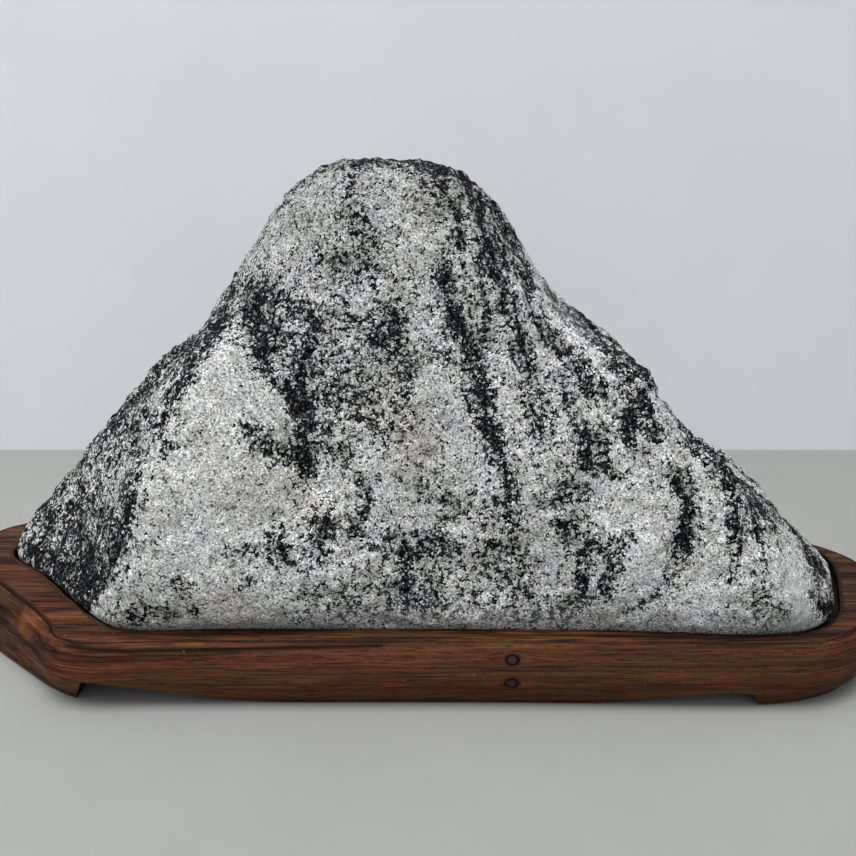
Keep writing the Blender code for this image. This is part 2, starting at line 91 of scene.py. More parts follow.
# Places on the front where the dark mineral gathers: name, share of dark, half width, then the
# path as (x, height). The rims and edges that lie on the outline, and the nose crevice, are also
# painted shade, darker where the outline turns away and where the crevice falls into shade.
DARK_FRONT = (
    ("end ridge", 0.40, 6, ((-150, 90), (-137, 104), (-120, 116))),
    ("slope rim", 0.66, 5, ((-120, 116), (-108, 123), (-98, 131), (-96, 145))),
    ("slope seam", 0.62, 4, ((-105, 116), (-110, 109), (-112, 103))),
    ("slope line 1", 0.48, 3.5, ((-156, 82), (-147, 90), (-138, 99), (-130, 106))),
    ("slope line 2", 0.48, 3.5, ((-160, 70), (-150, 76), (-141, 82), (-130, 92))),
    ("slope spot", 0.50, 3, ((-114, 86), (-113, 84))),
    ("slope far line", 0.34, 4, ((-184, 54), (-170, 62), (-158, 78))),
    ("beside the arris", 0.68, 4, ((-129, 66), (-130, 56), (-133, 46), (-137, 38))),
    ("facet branch, upper", 0.55, 4, ((-134, 50), (-146, 47), (-158, 42), (-173, 40))),
    ("facet branch, lower", 0.36, 5, ((-140, 28), (-150, 24), (-160, 20), (-178, 22))),
    ("facet's foot", 0.62, 5, ((-180, 5), (-168, 8), (-158, 12))),
    ("dome's left edge", 0.46, 3, ((-99, 152), (-89, 164), (-78, 176), (-68, 187), (-58, 196), (-45, 203))),
    ("shoulder blob", 0.74, 7, ((-77, 148), (-78, 138), (-77, 131), (-73, 124))),
    ("shoulder blob, right", 0.62, 5, ((-70, 138), (-68, 130))),
    ("shoulder arch", 0.52, 4, ((-74, 149), (-65, 146), (-56, 141), (-47, 133))),
    ("shoulder fringe", 0.34, 7, ((-86, 146), (-86, 138), (-96, 132))),
    ("spur's edge", 0.66, 2.5, ((-77, 125), (-72, 118), (-67, 110), (-61, 102), (-56, 95))),
    ("dome foot, left", 0.30, 7, ((-63, 130), (-57, 120), (-52, 110))),
    ("spot above the valley", 0.24, 4, ((-36, 139), (-35, 135))),
    ("spot by the arch", 0.34, 4, ((-44, 137), (-43, 130))),
    ("spot in the centre", 0.50, 5, ((-40, 108), (-32, 102))),
    ("valley, top", 0.60, 4.5, ((-50, 127), (-56, 118), (-57, 108))),
    ("valley", 0.90, 5, ((-54, 101), (-53, 90), (-55, 82), (-53, 72))),
    ("valley, left arm", 0.66, 4, ((-71, 84), (-67, 79), (-61, 79), (-56, 80))),
    ("valley, right haze", 0.15, 7, ((-46, 116), (-44, 98), (-42, 84))),
    ("centre haze, left", 0.22, 8, ((-38, 122), (-32, 108), (-31, 96))),
    ("centre haze, right", 0.15, 8, ((-23, 124), (-20, 110), (-24, 98))),
    ("valley foot", 0.28, 5, ((-50, 91), (-45, 81), (-36, 76))),
    ("spur spot", 0.52, 4, ((-79, 92), (-74, 87))),
    ("crown haze", 0.06, 14, ((-40, 196), (-18, 200), (2, 194))),
    ("crown spot", 0.40, 5, ((-38, 200), (-35, 193))),
    ("dome spot 1", 0.22, 5, ((-36, 182), (-29, 176))),
    ("dome spot 2", 0.24, 4, ((-36, 161), (-33, 156))),
    ("dome spot 3", 0.22, 5, ((-25, 174), (-23, 160))),
    ("dome spot 4", 0.12, 6, ((-38, 158), (-31, 154))),
    ("dome haze", 0.10, 16, ((-48, 148), (-34, 168), (-18, 152))),
    ("heart blob", 0.76, 6, ((-23, 128), (-17, 129), (-15, 135))),
    ("heart tail", 0.30, 5, ((-14, 122), (-11, 115), (-11, 106))),
    ("heart arm", 0.24, 5, ((-11, 117), (0, 122), (9, 126))),
    ("centre spot 1", 0.28, 5, ((-13, 94), (-17, 90))),
    ("crack", 0.50, 2.5, ((-30, 70), (-25, 63), (-28, 56), (-31, 50))),
    ("centre spot 3", 0.36, 4, ((-3, 69), (-2, 66))),
    ("low spot 1", 0.74, 5, ((-47, 51), (-44, 49))),
    ("low spot 2", 0.50, 4, ((-33, 52), (-31, 48))),
    ("low spot 3", 0.82, 4, ((-66, 46), (-62, 37))),
    ("low spot 4", 0.32, 5, ((-48, 42), (-47, 37))),
    ("low spot 5", 0.40, 5, ((-52, 21), (-40, 19))),
    ("low spot 6", 0.34, 4, ((-86, 40), (-75, 41))),
    ("apron spot 1", 0.50, 3, ((-134, 33), (-132, 31))),
    ("apron spot 2", 0.52, 4, ((-109, 27), (-105, 25))),
    ("apron spot 3", 0.44, 3, ((-81, 28), (-79, 27))),
    ("apron spot 4", 0.44, 3, ((-105, 15), (-103, 14))),
    ("foot patch", 0.58, 5, ((-131, 8), (-124, 14), (-116, 12))),
    ("low middle, left", 0.66, 5, ((-15, 42), (-9, 38), (-4, 40))),
    ("low middle, right", 0.56, 5, ((0, 43), (9, 41))),
    ("low middle, heart", 0.62, 6, ((-10, 24), (-8, 18))),
    ("low middle, spot", 0.62, 4, ((1, 23), (2, 17))),
    ("low middle, haze", 0.12, 20, ((-22, 18), (-6, 28), (4, 28))),
    ("foot band", 0.18, 5, ((-64, 8), (-43, 10), (-18, 12), (6, 9))),
    ("crown rim", 0.78, 4, ((-32, 206), (-17, 207), (-3, 205), (10, 201), (19, 196))),
    ("crown haze, right", 0.34, 6, ((-6, 203), (0, 196), (3, 186))),
    ("crown loop", 0.60, 3, ((4, 200), (9, 191), (13, 184), (14, 173), (15, 168))),
    ("flank band, top", 0.60, 5, ((19, 196), (23, 186), (25, 176), (29, 166))),
    ("flank band", 0.72, 4.5, ((29, 166), (32, 156), (35, 146), (39, 136), (42, 126))),
    ("flank band, low", 0.70, 4.5, ((42, 126), (43, 118), (46, 110), (47, 101), (48, 90))),
    ("flank rim", 0.72, 3, ((30, 186), (35, 178), (40, 170), (43, 160), (46, 150), (46, 138))),
    ("flank haze", 0.14, 9, ((22, 184), (32, 164))),
    ("between the bands", 0.30, 5, ((21, 158), (23, 144), (27, 130))),
    ("main band, top", 0.76, 5, ((6, 157), (10, 147), (12, 136))),
    ("main band, bend", 0.72, 4.5, ((13, 134), (19, 126), (21, 116), (23, 107))),
    ("main band", 0.80, 4.5, ((22, 106), (25, 98), (28, 88))),
    ("main band, low", 0.46, 5, ((28, 88), (31, 78), (34, 70), (36, 60), (38, 50))),
    ("inner right band", 0.72, 4, ((51, 134), (57, 127), (63, 122), (67, 116), (72, 108), (77, 106))),
    ("neck, lower rim", 0.58, 4, ((60, 140), (72, 132), (84, 122))),
    ("right rim, fine", 0.92, 4, ((62, 147), (72, 139), (82, 131), (92, 121), (98, 112))),
    ("right rim", 0.60, 4, ((83, 121), (86, 112), (89, 104), (87, 96))),
    ("right rim, inner", 0.74, 4, ((88, 96), (87, 88))),
    ("right rim, outer", 0.70, 4, ((92, 105), (95, 98), (98, 91))),
    ("right heart", 0.66, 5, ((67, 91), (71, 84), (70, 79), (79, 75))),
    ("right heart, upper", 0.45, 4, ((73, 89), (74, 83))),
    ("right of the flank", 0.50, 4, ((60, 111), (63, 102))),
    ("hook", 0.66, 3.5, ((69, 66), (60, 67), (56, 60), (58, 52), (61, 46), (65, 50))),
    ("curved band", 0.97, 4.6, ((109, 71), (112, 63), (113, 55), (113, 48), (111, 42))),
    ("curved band's tail", 0.34, 2.5, ((111, 38), (107, 30), (101, 22), (95, 15), (88, 9))),
    ("spur rim", 0.72, 5, ((119, 88), (134, 74), (148, 61), (156, 50))),
    ("spur band", 0.76, 3.5, ((130, 70), (134, 64), (133, 57), (134, 49))),
    ("spur band's tail", 0.44, 2.5, ((134, 49), (133, 40), (134, 30))),
    ("spur band 2", 0.82, 3, ((142, 59), (142, 50))),
    ("spur band 2's tail", 0.34, 2.5, ((142, 50), (146, 42), (143, 30), (145, 22))),
    ("spur spot", 0.26, 3, ((115, 84), (121, 78))),
    ("spur foot", 0.46, 4, ((145, 14), (156, 12))),
    ("nose rim", 0.62, 3, ((156, 50), (168, 40), (178, 33), (188, 26))),
    ("nose edge", 0.78, 4, ((182, 19), (191, 15), (203, 7))),
    ("nose edge, inner", 0.26, 3, ((171, 18), (177, 14), (183, 12))),
    ("nose crevice", 0.97, 4.2, ((179, 9), (184, 5), (190, 3))),
    ("fork, left", 0.66, 4, ((71, 42), (68, 35), (69, 26), (68, 20))),
    ("fork, foot", 0.36, 4, ((66, 16), (62, 11))),
    ("fork, right", 0.66, 4, ((87, 48), (80, 38), (79, 28), (77, 20))),
    ("low right spot 1", 0.50, 5, ((9, 59), (12, 57))),
    ("beside the main band", 0.45, 4, ((31, 62), (33, 57))),
    ("low right spot 2", 0.26, 4, ((28, 30), (36, 27), (43, 18))),
    ("low right spot 3", 0.46, 4, ((28, 41), (40, 39), (43, 32))),
    ("low right haze", 0.12, 16, ((24, 36), (34, 24), (44, 16))),
    ("right foot band", 0.30, 4, ((38, 8), (50, 9), (64, 10))),
)

# The sharp edge between the dark end facet and the pale spur, as (x, height), and the share of dark
# on the facet left of it, as (height, share).
ARRIS = ((-159, 0), (-155, 6), (-144, 22), (-136, 36), (-130, 49), (-128, 62), (-122, 78),
         (-115, 91), (-107, 109), (-98, 120), (-92, 126))
FACET_SHARE = ((0, 0.88), (10, 0.80), (20, 0.68), (30, 0.56), (40, 0.44), (60, 0.32), (140, 0.34))
FACET_PALE = (
    ("tip", 0.74, 6, ((-225, 12), (-218, 3))),
    ("light spot", 0.45, 6, ((-213, 13), (-203, 16))),
    ("pale beside the arris", 0.45, 4.5, ((-124, 98), (-129, 84), (-133, 66))),
    ("below the branch", 0.50, 4, ((-155, 31), (-146, 34))),
)

# Places where it is nearly all pale quartz and feldspar, in the same way.
PALE_FRONT = (
    ("white spur", 0.96, 24, ((-92, 116), (-86, 92), (-92, 62), (-102, 30), (-104, 8))),
    ("white apron", 0.80, 20, ((-84, 60), (-72, 30), (-80, 14))),
    ("apron's foot", 0.60, 6, ((-92, 5), (-66, 5))),
    ("crown", 0.55, 15, ((-40, 200), (-18, 200), (-16, 186))),
    ("column", 0.75, 8, ((-5, 195), (-7, 170), (-4, 150))),
    ("dome's left flank", 0.35, 15, ((-58, 186), (-70, 165))),
    ("centre", 0.25, 18, ((4, 100), (12, 70))),
    ("dome's right edge", 0.90, 3.5, ((43, 174), (48, 164), (54, 152))),
    ("neck", 0.90, 8, ((54, 146), (72, 124))),
    ("right bulge", 0.85, 13, ((92, 70), (94, 40), (88, 20))),
    ("between spur bands", 0.80, 7, ((122, 60), (122, 30), (114, 10))),
    ("nose", 0.92, 14, ((152, 32), (166, 16), (172, 6))),
)

# Places where thin dark streaks run along the rock's sheets, close beside one another.
BANDED_FRONT = (
    ("right of the dome", 0.34, 13, ((20, 188), (32, 152), (42, 115))),
    ("right slope", 0.22, 14, ((62, 126), (88, 96), (100, 70))),
    ("right spur", 0.16, 10, ((136, 60), (144, 26))),
)

# Places where the grains lie without any streaks.
EVEN_FRONT = (
    ("centre", 0.85, 26, ((-28, 120), (-12, 96), (2, 66))),
    ("dome's right edge", 0.90, 4, ((43, 174), (48, 164), (54, 152))),
    ("above the foot", 0.60, 14, ((-40, 14), (20, 14))),
)

# Grey on the pale grains, in the same way: weathering, and on the crown and the dome also painted shade,
# darkening the top of the stone.
PATINA_AND_SHADE_FRONT = (
    ("crown", 0.50, 24, ((-60, 188), (-36, 203), (-8, 205), (14, 198))),
    ("dome", 0.30, 32, ((-50, 160), (-10, 150), (24, 165))),
    ("centre", 0.42, 30, ((-10, 112), (0, 70))),
    ("right centre", 0.25, 24, ((60, 100), (60, 50))),
)

# Places that are rubbed smooth, so their grains hardly show.
SMOOTH_FRONT = (
    ("nose", 0.95, 4.5, ((161, 25), (164, 14), (167, 4))),
    ("neck", 0.2, 5, ((55, 145), (70, 128))),
    ("front of the foot", 0.26, 6, ((-70, 5), (-20, 6), (60, 6), (160, 6))),
)

# The same on the back.
DARK_BACK = (
    ("crown cap", 0.58, 9, ((-30, 205), (-6, 204), (16, 198))),
    ("crown band", 0.70, 6, ((14, 196), (20, 180), (30, 164), (33, 150))),
    ("crown band, fork", 0.56, 4, ((33, 150), (42, 134), (54, 122), (60, 108))),
    ("crown band, low", 0.74, 5, ((33, 150), (34, 130), (40, 112), (41, 98))),
    ("crown band, foot", 0.44, 7, ((41, 98), (50, 76), (49, 58))),
    ("right band", 0.80, 6, ((62, 142), (72, 124), (84, 108), (90, 92))),
    ("right band, low", 0.62, 4, ((90, 92), (90, 76), (84, 62), (85, 46))),
    ("right spots", 0.60, 5, ((70, 84), (66, 76))),
    ("right sheet", 0.72, 5, ((110, 92), (118, 74), (122, 58))),
    ("right sheet, tail", 0.42, 4, ((122, 58), (118, 38), (122, 20))),
    ("right end sheet", 0.66, 5, ((142, 66), (148, 50), (158, 38))),
    ("right foot", 0.40, 9, ((92, 16), (112, 10), (140, 12))),
    ("nose sheet", 0.60, 6, ((178, 30), (190, 12))),
    ("middle thread", 0.50, 3.5, ((4, 180), (4, 160), (10, 144))),
    ("middle sheet", 0.66, 7, ((-8, 150), (0, 134), (2, 120))),
    ("middle sheet, low", 0.50, 4, ((2, 120), (-4, 100), (2, 84))),
    ("middle blobs", 0.78, 7, ((4, 66), (-4, 52), (-14, 46))),
    ("middle haze", 0.24, 20, ((-10, 76), (16, 46), (24, 24))),
    ("left of the crown", 0.48, 8, ((-44, 186), (-52, 170), (-56, 152))),
    ("left blob", 0.84, 8, ((-50, 138), (-58, 128), (-57, 114))),
    ("left sheet", 0.60, 5, ((-57, 114), (-50, 98), (-54, 84), (-64, 70))),
    ("left sheet, fork", 0.40, 4, ((-54, 84), (-42, 70), (-40, 54))),
    ("left sheet, foot", 0.52, 7, ((-72, 42), (-70, 24), (-80, 10))),
    ("left spots", 0.56, 5, ((-88, 86), (-84, 78))),
    ("left spur band", 0.76, 6, ((-92, 134), (-102, 116), (-104, 100))),
    ("left spur band, low", 0.50, 5, ((-104, 100), (-114, 82), (-112, 62))),
    ("left spur haze", 0.34, 12, ((-112, 64), (-122, 40), (-116, 22))),
    ("left end sheet", 0.66, 8, ((-138, 90), (-150, 72), (-152, 52))),
    ("left end sheet, low", 0.46, 6, ((-152, 52), (-164, 34), (-160, 16))),
    ("left end", 0.74, 13, ((-184, 44), (-198, 26), (-208, 8))),
    ("foot haze", 0.30, 14, ((-56, 14), (-20, 20), (16, 16), (48, 12))),
)
PALE_BACK = (
    ("back spur", 0.85, 13, ((58, 96), (66, 60), (64, 24))),
    ("back spur, right", 0.70, 8, ((104, 70), (102, 40))),
    ("back apron", 0.80, 14, ((-90, 60), (-96, 30), (-130, 10))),
    ("back column", 0.65, 11, ((-26, 170), (-28, 130), (-24, 96))),
    ("back neck", 0.60, 8, ((44, 160), (56, 146))),
    ("back nose", 0.85, 10, ((164, 36), (170, 10))),
)

# Tints of the pale minerals: name, strength, half width, path.
CREAM_FRONT = (
    ("iron stain on the apron", 0.35, 13, ((-88, 72), (-64, 66), (-52, 58))),
    ("lichen stain on the column", 0.4, 8, ((2, 186), (0, 172))),
    ("stain below the heart", 0.4, 12, ((-20, 100), (-4, 84))),
    ("spur's foot", 0.4, 10, ((-100, 20), (-84, 12))),
)
GREEN_FRONT = (
    ("round the valley", 0.4, 10, ((-66, 98), (-60, 80))),
    ("spur's foot", 0.6, 8, ((143, 13), (158, 12))),
    ("below the valley", 0.2, 9, ((-62, 56), (-52, 48))),
    ("crown stain", 0.3, 9, ((6, 192), (4, 176))),
)

# Low swells and hollows of the stone's skin: name, rise, half width, the y where it is strongest, and
# the path as (x, height). Each fades out over SWELL_REACH in front of that y and behind it.
SWELL_REACH = 38
SWELLS = (
    ("left slope", 2.8, 13, 104, ((-134, 103), (-154, 84), (-184, 50), (-206, 24))),
    ("crown's left", 2.0, 9, 84, ((-42, 203), (-57, 195), (-72, 181))),
    ("crown's right", 1.3, 7, 84, ((-4, 205), (8, 202), (13, 199))),
    ("neck", 1.6, 6, 100, ((49, 156), (58, 147))),
    ("right shoulder", 2.8, 6, 60, ((90, 119), (97, 112))),
    ("notch", -3.6, 6, 34, ((106, 103), (119, 88))),
    ("spur's brow", 1.6, 5, 28, ((128, 79), (134, 74))),
    ("spur's rim", 4.2, 8, 112, ((158, 51), (163, 44), (174, 35))),
)

# The stand's groove line seen from above: (x, y, reach of the waist, reach of the foot).
STAND_OUTLINE = (
    (-154, -0.6, 4.5, -5.0),
    (-120, 0.0, 4.5, -3.0),
    (20, 0.0, 4.5, -2.8),
    (110, -1.6, 4.5, -2.8),
    (148, -1.6, 4.5, -2.2),
    (173, 0.0, 4.5, -5.5),
    (194, 13.0, 5.0, -4.5),
    (213, 42.0, 5.0, -4.0),
    (226, 76.0, 5.0, -4.0),
    (224, 100.0, 4.5, -4.0),
    (206, 123.0, 4.5, -3.0),
    (168, 137.0, 4.5, -3.0),
    (80, 151.0, 4.5, -3.0),
    (-60, 161.0, 4.5, -3.0),
    (-170, 162.0, 4.5, -3.0),
    (-222, 158.0, 4.5, -2.0),
    (-243, 144.0, 5.0, 0.0),
    (-248, 122.0, 6.0, 2.0),
    (-239, 94.0, 7.5, 6.0),
    (-214, 64.0, 8.5, 8.0),
    (-186, 34.0, 8.0, 6.0),
    (-174, 19.0, 7.0, 3.0),
    (-165, 5.0, 5.5, -4.0),
)

# The stand's side: the foot's chamfer and eased edge, the flank as (share of the way from the foot's
# reach to the waist's, height), and the shoulder as (share of the waist's reach, depth below the top).
FOOT_CHAMFER = 1.0
FOOT_EDGE = 0.3
STAND_FLANK = ((0.0, 1.0), (0.62, 7.4), (0.95, 14.0), (1.0, 18.5))
STAND_SHOULDER = ((0.86, 7.5), (0.62, 3.2), (0.35, 0.9), (0.2, 0.35))
FLANK_STEPS = 4
SHOULDER_STEPS = 13

# The arches seen from the front, as (x, height); each is cut through from front to back.
LEFT_ARCH = ((-160, 0.0), (-153, 14.6), (-146, 13.8), (-123, 9.5), (-98, 4.0), (-76, 1.0), (-58, 0.0))
RIGHT_ARCH = ((149, 0.0), (144, 8.0), (136, 9.2), (117, 6.5), (100, 3.6), (86, 1.3), (72, 0.0))
ARCH_STEPS = 6
ARCH_OVERRUN = 10.0
ARCH_CUT = (-30.0, 200.0)

# The groove's eased inner edge, and the ledge between the groove and the pocket.
GROOVE_EASE = 0.1
GROOVE_LIP = 0.5
LEDGE_STEPS = 9

# The pocket, with more room round the stone at its right end. Its wall runs from an eased edge down,
# as (how far out it stands, how far down it is).
POCKET_DEPTH = 5.5
POCKET_WALL = ((0.08, 0.05), (0.0, 0.3), (0.0, 2.5), (0.0, POCKET_DEPTH))
POCKET_CLEARANCE = 0.9
POCKET_CLEARANCE_RIGHT = 2.4
RIGHT_END = 175.0
RIGHT_FADE = 20.0

# Knots in the front of the plank: (x, height above the floor, radius).
KNOTS = ((37.0, 25.0, 2.6), (37.0, 13.8, 2.7))

# Seams that the gouge left along the front: name, depth, half width, path as (x, height).
SEAMS = (
    ("upper seam", 0.70, 0.9, ((-160, 30.4), (-131, 28.4), (-100, 28.6), (-60, 29.6), (-20, 30.4))),
    ("lower seam", 0.50, 0.8, ((-166, 27.0), (-140, 26.0), (-104, 26.6), (-84, 27.4))),
    ("third seam", 0.30, 0.7, ((-150, 24.0), (-120, 24.2), (-96, 24.8))),
)

# Marks on the stand seen from above: name, change of tone, half width, path as (x, y).
TOP_MARKS = (
    ("soot streak", -0.60, 2.2, ((-212, 50), (-202, 42), (-194, 36))),
    ("dark mark on the corner's side", -0.40, 2.0, ((-222, 66), (-206, 45), (-186, 22), (-172, 5))),
    ("dark mark beside the corner", -0.45, 2.5, ((-182, 18), (-174, 8), (-164, 1))),
    ("red lip of the groove", 0.22, 1.6, ((-173, 17), (-166, 5), (-162, 0))),
    ("pale streak on the ledge", 0.28, 1.0, ((-134, 5), (-106, 3.4), (-40, 4))),
)

# The left corner. Its up-facing carved facet carries a painted highlight in the colour of bare wood, where
# the stain is also rubbed thin.
CORNER_X = -190.0
WORN_CORNER_HIGHLIGHT = (("worn corner", 0.36, 4.0, ((-199, 36), (-188, 28), (-178, 22))),)

# How two colours are mixed, and a Mix node's colour sockets: first, second and result.
BLEND = {"data_type": "RGBA"}
TINT = {"data_type": "RGBA", "blend_type": "MULTIPLY"}
FIRST, SECOND, MIXED = 6, 7, 2


# ---------------------------------------------------------------- shared tools

def linear(code):
    """Linear colour of an sRGB hex value."""
    channels = [int(code[start:start + 2], 16) / 255 for start in (1, 3, 5)]
    return (*(c / 12.92 if c <= 0.04045 else ((c + 0.055) / 1.055) ** 2.4 for c in channels), 1.0)


def select_only(thing):
    """Make a thing the only one selected, and the active one."""
    bpy.ops.object.select_all(action="DESELECT")
    thing.select_set(True)
    bpy.context.view_layer.objects.active = thing


def apply_modifier(thing, kind, **settings):
    """Add a modifier with its settings and apply it."""
    select_only(thing)
    modifier = thing.modifiers.new(kind.lower(), kind)
    for key, value in settings.items():
        setattr(modifier, key, value)
    bpy.ops.object.modifier_apply(modifier=modifier.name)


def read_places(mesh):
    """Every vertex's place as an array, in millimetres from the tables' zero."""
    flat = np.empty(len(mesh.vertices) * 3)
    mesh.vertices.foreach_get("co", flat)
    return flat.reshape(-1, 3) / MM - (ZERO_X, ZERO_Y, 0.0)


def write_places(mesh, places):
    """Move every vertex to its place in the array."""
    flat = (places + (ZERO_X, ZERO_Y, 0.0)) * MM
    mesh.vertices.foreach_set("co", flat.ravel())
    mesh.update()


def read_normals(mesh):
    """Every vertex's normal as an array."""
    flat = np.empty(len(mesh.vertices) * 3)
    mesh.vertex_normals.foreach_get("vector", flat)
    return flat.reshape(-1, 3)


def write_attribute(mesh, name, values, domain="POINT"):
    """Give every vertex or face a number, or a vector, that a material can read."""
    values = np.asarray(values, dtype=np.float32)
    kind, slot = ("FLOAT", "value") if values.ndim == 1 else ("FLOAT_VECTOR", "vector")
    mesh.attributes.new(name, kind, domain).data.foreach_set(slot, values.ravel())


def noise_at(places, size, seed=0.0):
    """Smooth noise from -1 to 1 at every place, with features about one size apart."""
    scaled = places / size + seed
    return np.array([noise.noise(Vector(place)) for place in scaled])


def spline(points, steps, closed=False):
    """Centripetal Catmull-Rom curve; steps is one count, or one for each span."""
    points = np.asarray(points, dtype=float)
    count = len(points)
    if closed:
        padded = np.vstack((points[-1], points, points[:2]))
        spans = count
    else:
        padded = np.vstack((2 * points[0] - points[1], points, 2 * points[-1] - points[-2]))
        spans = count - 1
    if np.isscalar(steps):
        steps = [steps] * spans
    curve = []
    for span in range(spans):
        p0, p1, p2, p3 = padded[span:span + 4]
        t1 = np.sqrt(np.linalg.norm(p1 - p0))
        t2 = t1 + np.sqrt(np.linalg.norm(p2 - p1))
        t3 = t2 + np.sqrt(np.linalg.norm(p3 - p2))
        for t in np.linspace(t1, t2, steps[span], endpoint=False):
            a1 = (p0 * (t1 - t) + p1 * t) / t1
            a2 = (p1 * (t2 - t) + p2 * (t - t1)) / (t2 - t1)
            a3 = (p2 * (t3 - t) + p3 * (t - t2)) / (t3 - t2)
            b1 = (a1 * (t2 - t) + a2 * t) / t2
            b2 = (a2 * (t3 - t) + a3 * (t - t1)) / (t3 - t1)
            curve.append((b1 * (t2 - t) + b2 * (t - t1)) / (t2 - t1))
    if not closed:
        curve.append(points[-1])
    return np.array(curve)


def add_node(tree, kind, settings=None, inputs=None, stops=None):
    """Add a shader node, set it up, and feed each input a value or another node's output.

    Stops are a ramp's positions, each with a colour or an sRGB hex value.
    """
    node = tree.nodes.new("ShaderNode" + kind)
    for key, value in (settings or {}).items():
        setattr(node, key, value)
    for key, value in (inputs or {}).items():
        if isinstance(value, bpy.types.NodeSocket):
            tree.links.new(value, node.inputs[key])
        else:
            node.inputs[key].default_value = value
    if stops:
        ramp = node.color_ramp.elements
        while len(ramp) < len(stops):
            ramp.new(0.5)
        for element, (position, colour) in zip(ramp, stops):
            element.position = position
            element.color = linear(colour) if isinstance(colour, str) else colour
    return node


def new_material(name):
    """An empty material with its shader and output in place; returns it, its tree and shader."""
    material = bpy.data.materials.new(name)
    material.use_nodes = True
    tree = material.node_tree
    tree.nodes.clear()
    shader = add_node(tree, "BsdfPrincipled")
    add_node(tree, "OutputMaterial", inputs={"Surface": shader.outputs["BSDF"]})
    return material, tree, shader


# ---------------------------------------------------------------- the stone

def away_from(x, height, path):
    """Distance of every place on a face from a path drawn on it."""
    near = np.full(x.shape, np.inf)
    for (x0, h0), (x1, h1) in zip(path, path[1:]):
        run, climb = x1 - x0, h1 - h0
        share = np.clip(((x - x0) * run + (height - h0) * climb) / (run ** 2 + climb ** 2), 0.0, 1.0)
        near = np.minimum(near, np.hypot(x - x0 - share * run, height - h0 - share * climb))
    return near


def gathered(x, height, marks):
    """How much of each place is taken by the marks, where overlapping marks never pass 1."""
    left = np.ones(x.shape)
    for _, strength, half_width, path in marks:
        left *= 1.0 - strength * np.exp(-(away_from(x, height, path) / half_width) ** 2)
    return 1.0 - left


def sheet_position(x, height):
    """Place of every vertex on the line across the rock's sheets, in mm."""
    crossings = np.array([np.interp(height, *zip(*sorted((h, at) for at, h in path)))
                          for _, path in ROCK_SHEETS])
    values = np.array([value for value, _ in ROCK_SHEETS], dtype=float)
    position = np.clip(x - crossings[0], None, 0.0) + values[0]
    for step in range(len(values) - 1):
        gap = crossings[step + 1] - crossings[step]
        share = np.clip((x - crossings[step]) / gap, 0.0, 1.0)
        position = position + share * (values[step + 1] - values[step])
    return position + np.clip(x - crossings[-1], 0.0, None)


def skin_of_stone(voxel):
    """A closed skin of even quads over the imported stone."""
    skin = bpy.data.objects.new("gneiss_stone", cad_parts["stone"].data.copy())
    bpy.context.collection.objects.link(skin)
    select_only(skin)
    bpy.ops.object.mode_set(mode="EDIT")
    bpy.ops.mesh.select_all(action="SELECT")
    bpy.ops.mesh.remove_doubles(threshold=0.01 * MM)
    bpy.ops.mesh.customdata_custom_splitnormals_clear()
    bpy.ops.mesh.tris_convert_to_quads(face_threshold=math.radians(40), shape_threshold=math.radians(60))
    bpy.ops.mesh.normals_make_consistent(inside=False)
    bpy.ops.object.mode_set(mode="OBJECT")
    apply_modifier(skin, "SUBSURF", levels=2, render_levels=2)
    apply_modifier(skin, "REMESH", mode="VOXEL", voxel_size=voxel, use_smooth_shade=True)
    apply_modifier(skin, "SMOOTH", factor=0.5, iterations=4)
    return skin


class StoneSettings(bpy.types.PropertyGroup):
    """Sizes and colours of the stone."""

    skin_pitch: bpy.props.FloatProperty(
        name="Skin pitch", description="Distance between the skin's vertices",
        default=1.7 * MM, subtype="DISTANCE", unit="LENGTH")
    grain_size: bpy.props.FloatProperty(
        name="Grain size", description="Width of one pale mineral grain",
        default=0.75 * MM, subtype="DISTANCE", unit="LENGTH")
    clump_size: bpy.props.FloatProperty(
        name="Clump size", description="Spacing of the clumps that the dark grains form",
        default=3.4 * MM, subtype="DISTANCE", unit="LENGTH")
    knot_size: bpy.props.FloatProperty(
        name="Knot size", description="Width of the pale knots that the dark grains surround",
        default=3.0 * MM, subtype="DISTANCE", unit="LENGTH")
    pitting: bpy.props.FloatProperty(
        name="Pitting", description="Depth of the weathered surface's pits and knobs",
        default=1.4 * MM, subtype="DISTANCE", unit="LENGTH")
    pale_mineral: bpy.props.FloatVectorProperty(
        name="Pale mineral", description="Colour of most quartz and feldspar grains",
        default=linear("#C1C2C0")[:3], subtype="COLOR")
    dark_mineral: bpy.props.FloatVectorProperty(
        name="Dark mineral", description="Colour of most biotite and hornblende grains",
        default=linear("#0C0D0E")[:3], subtype="COLOR")


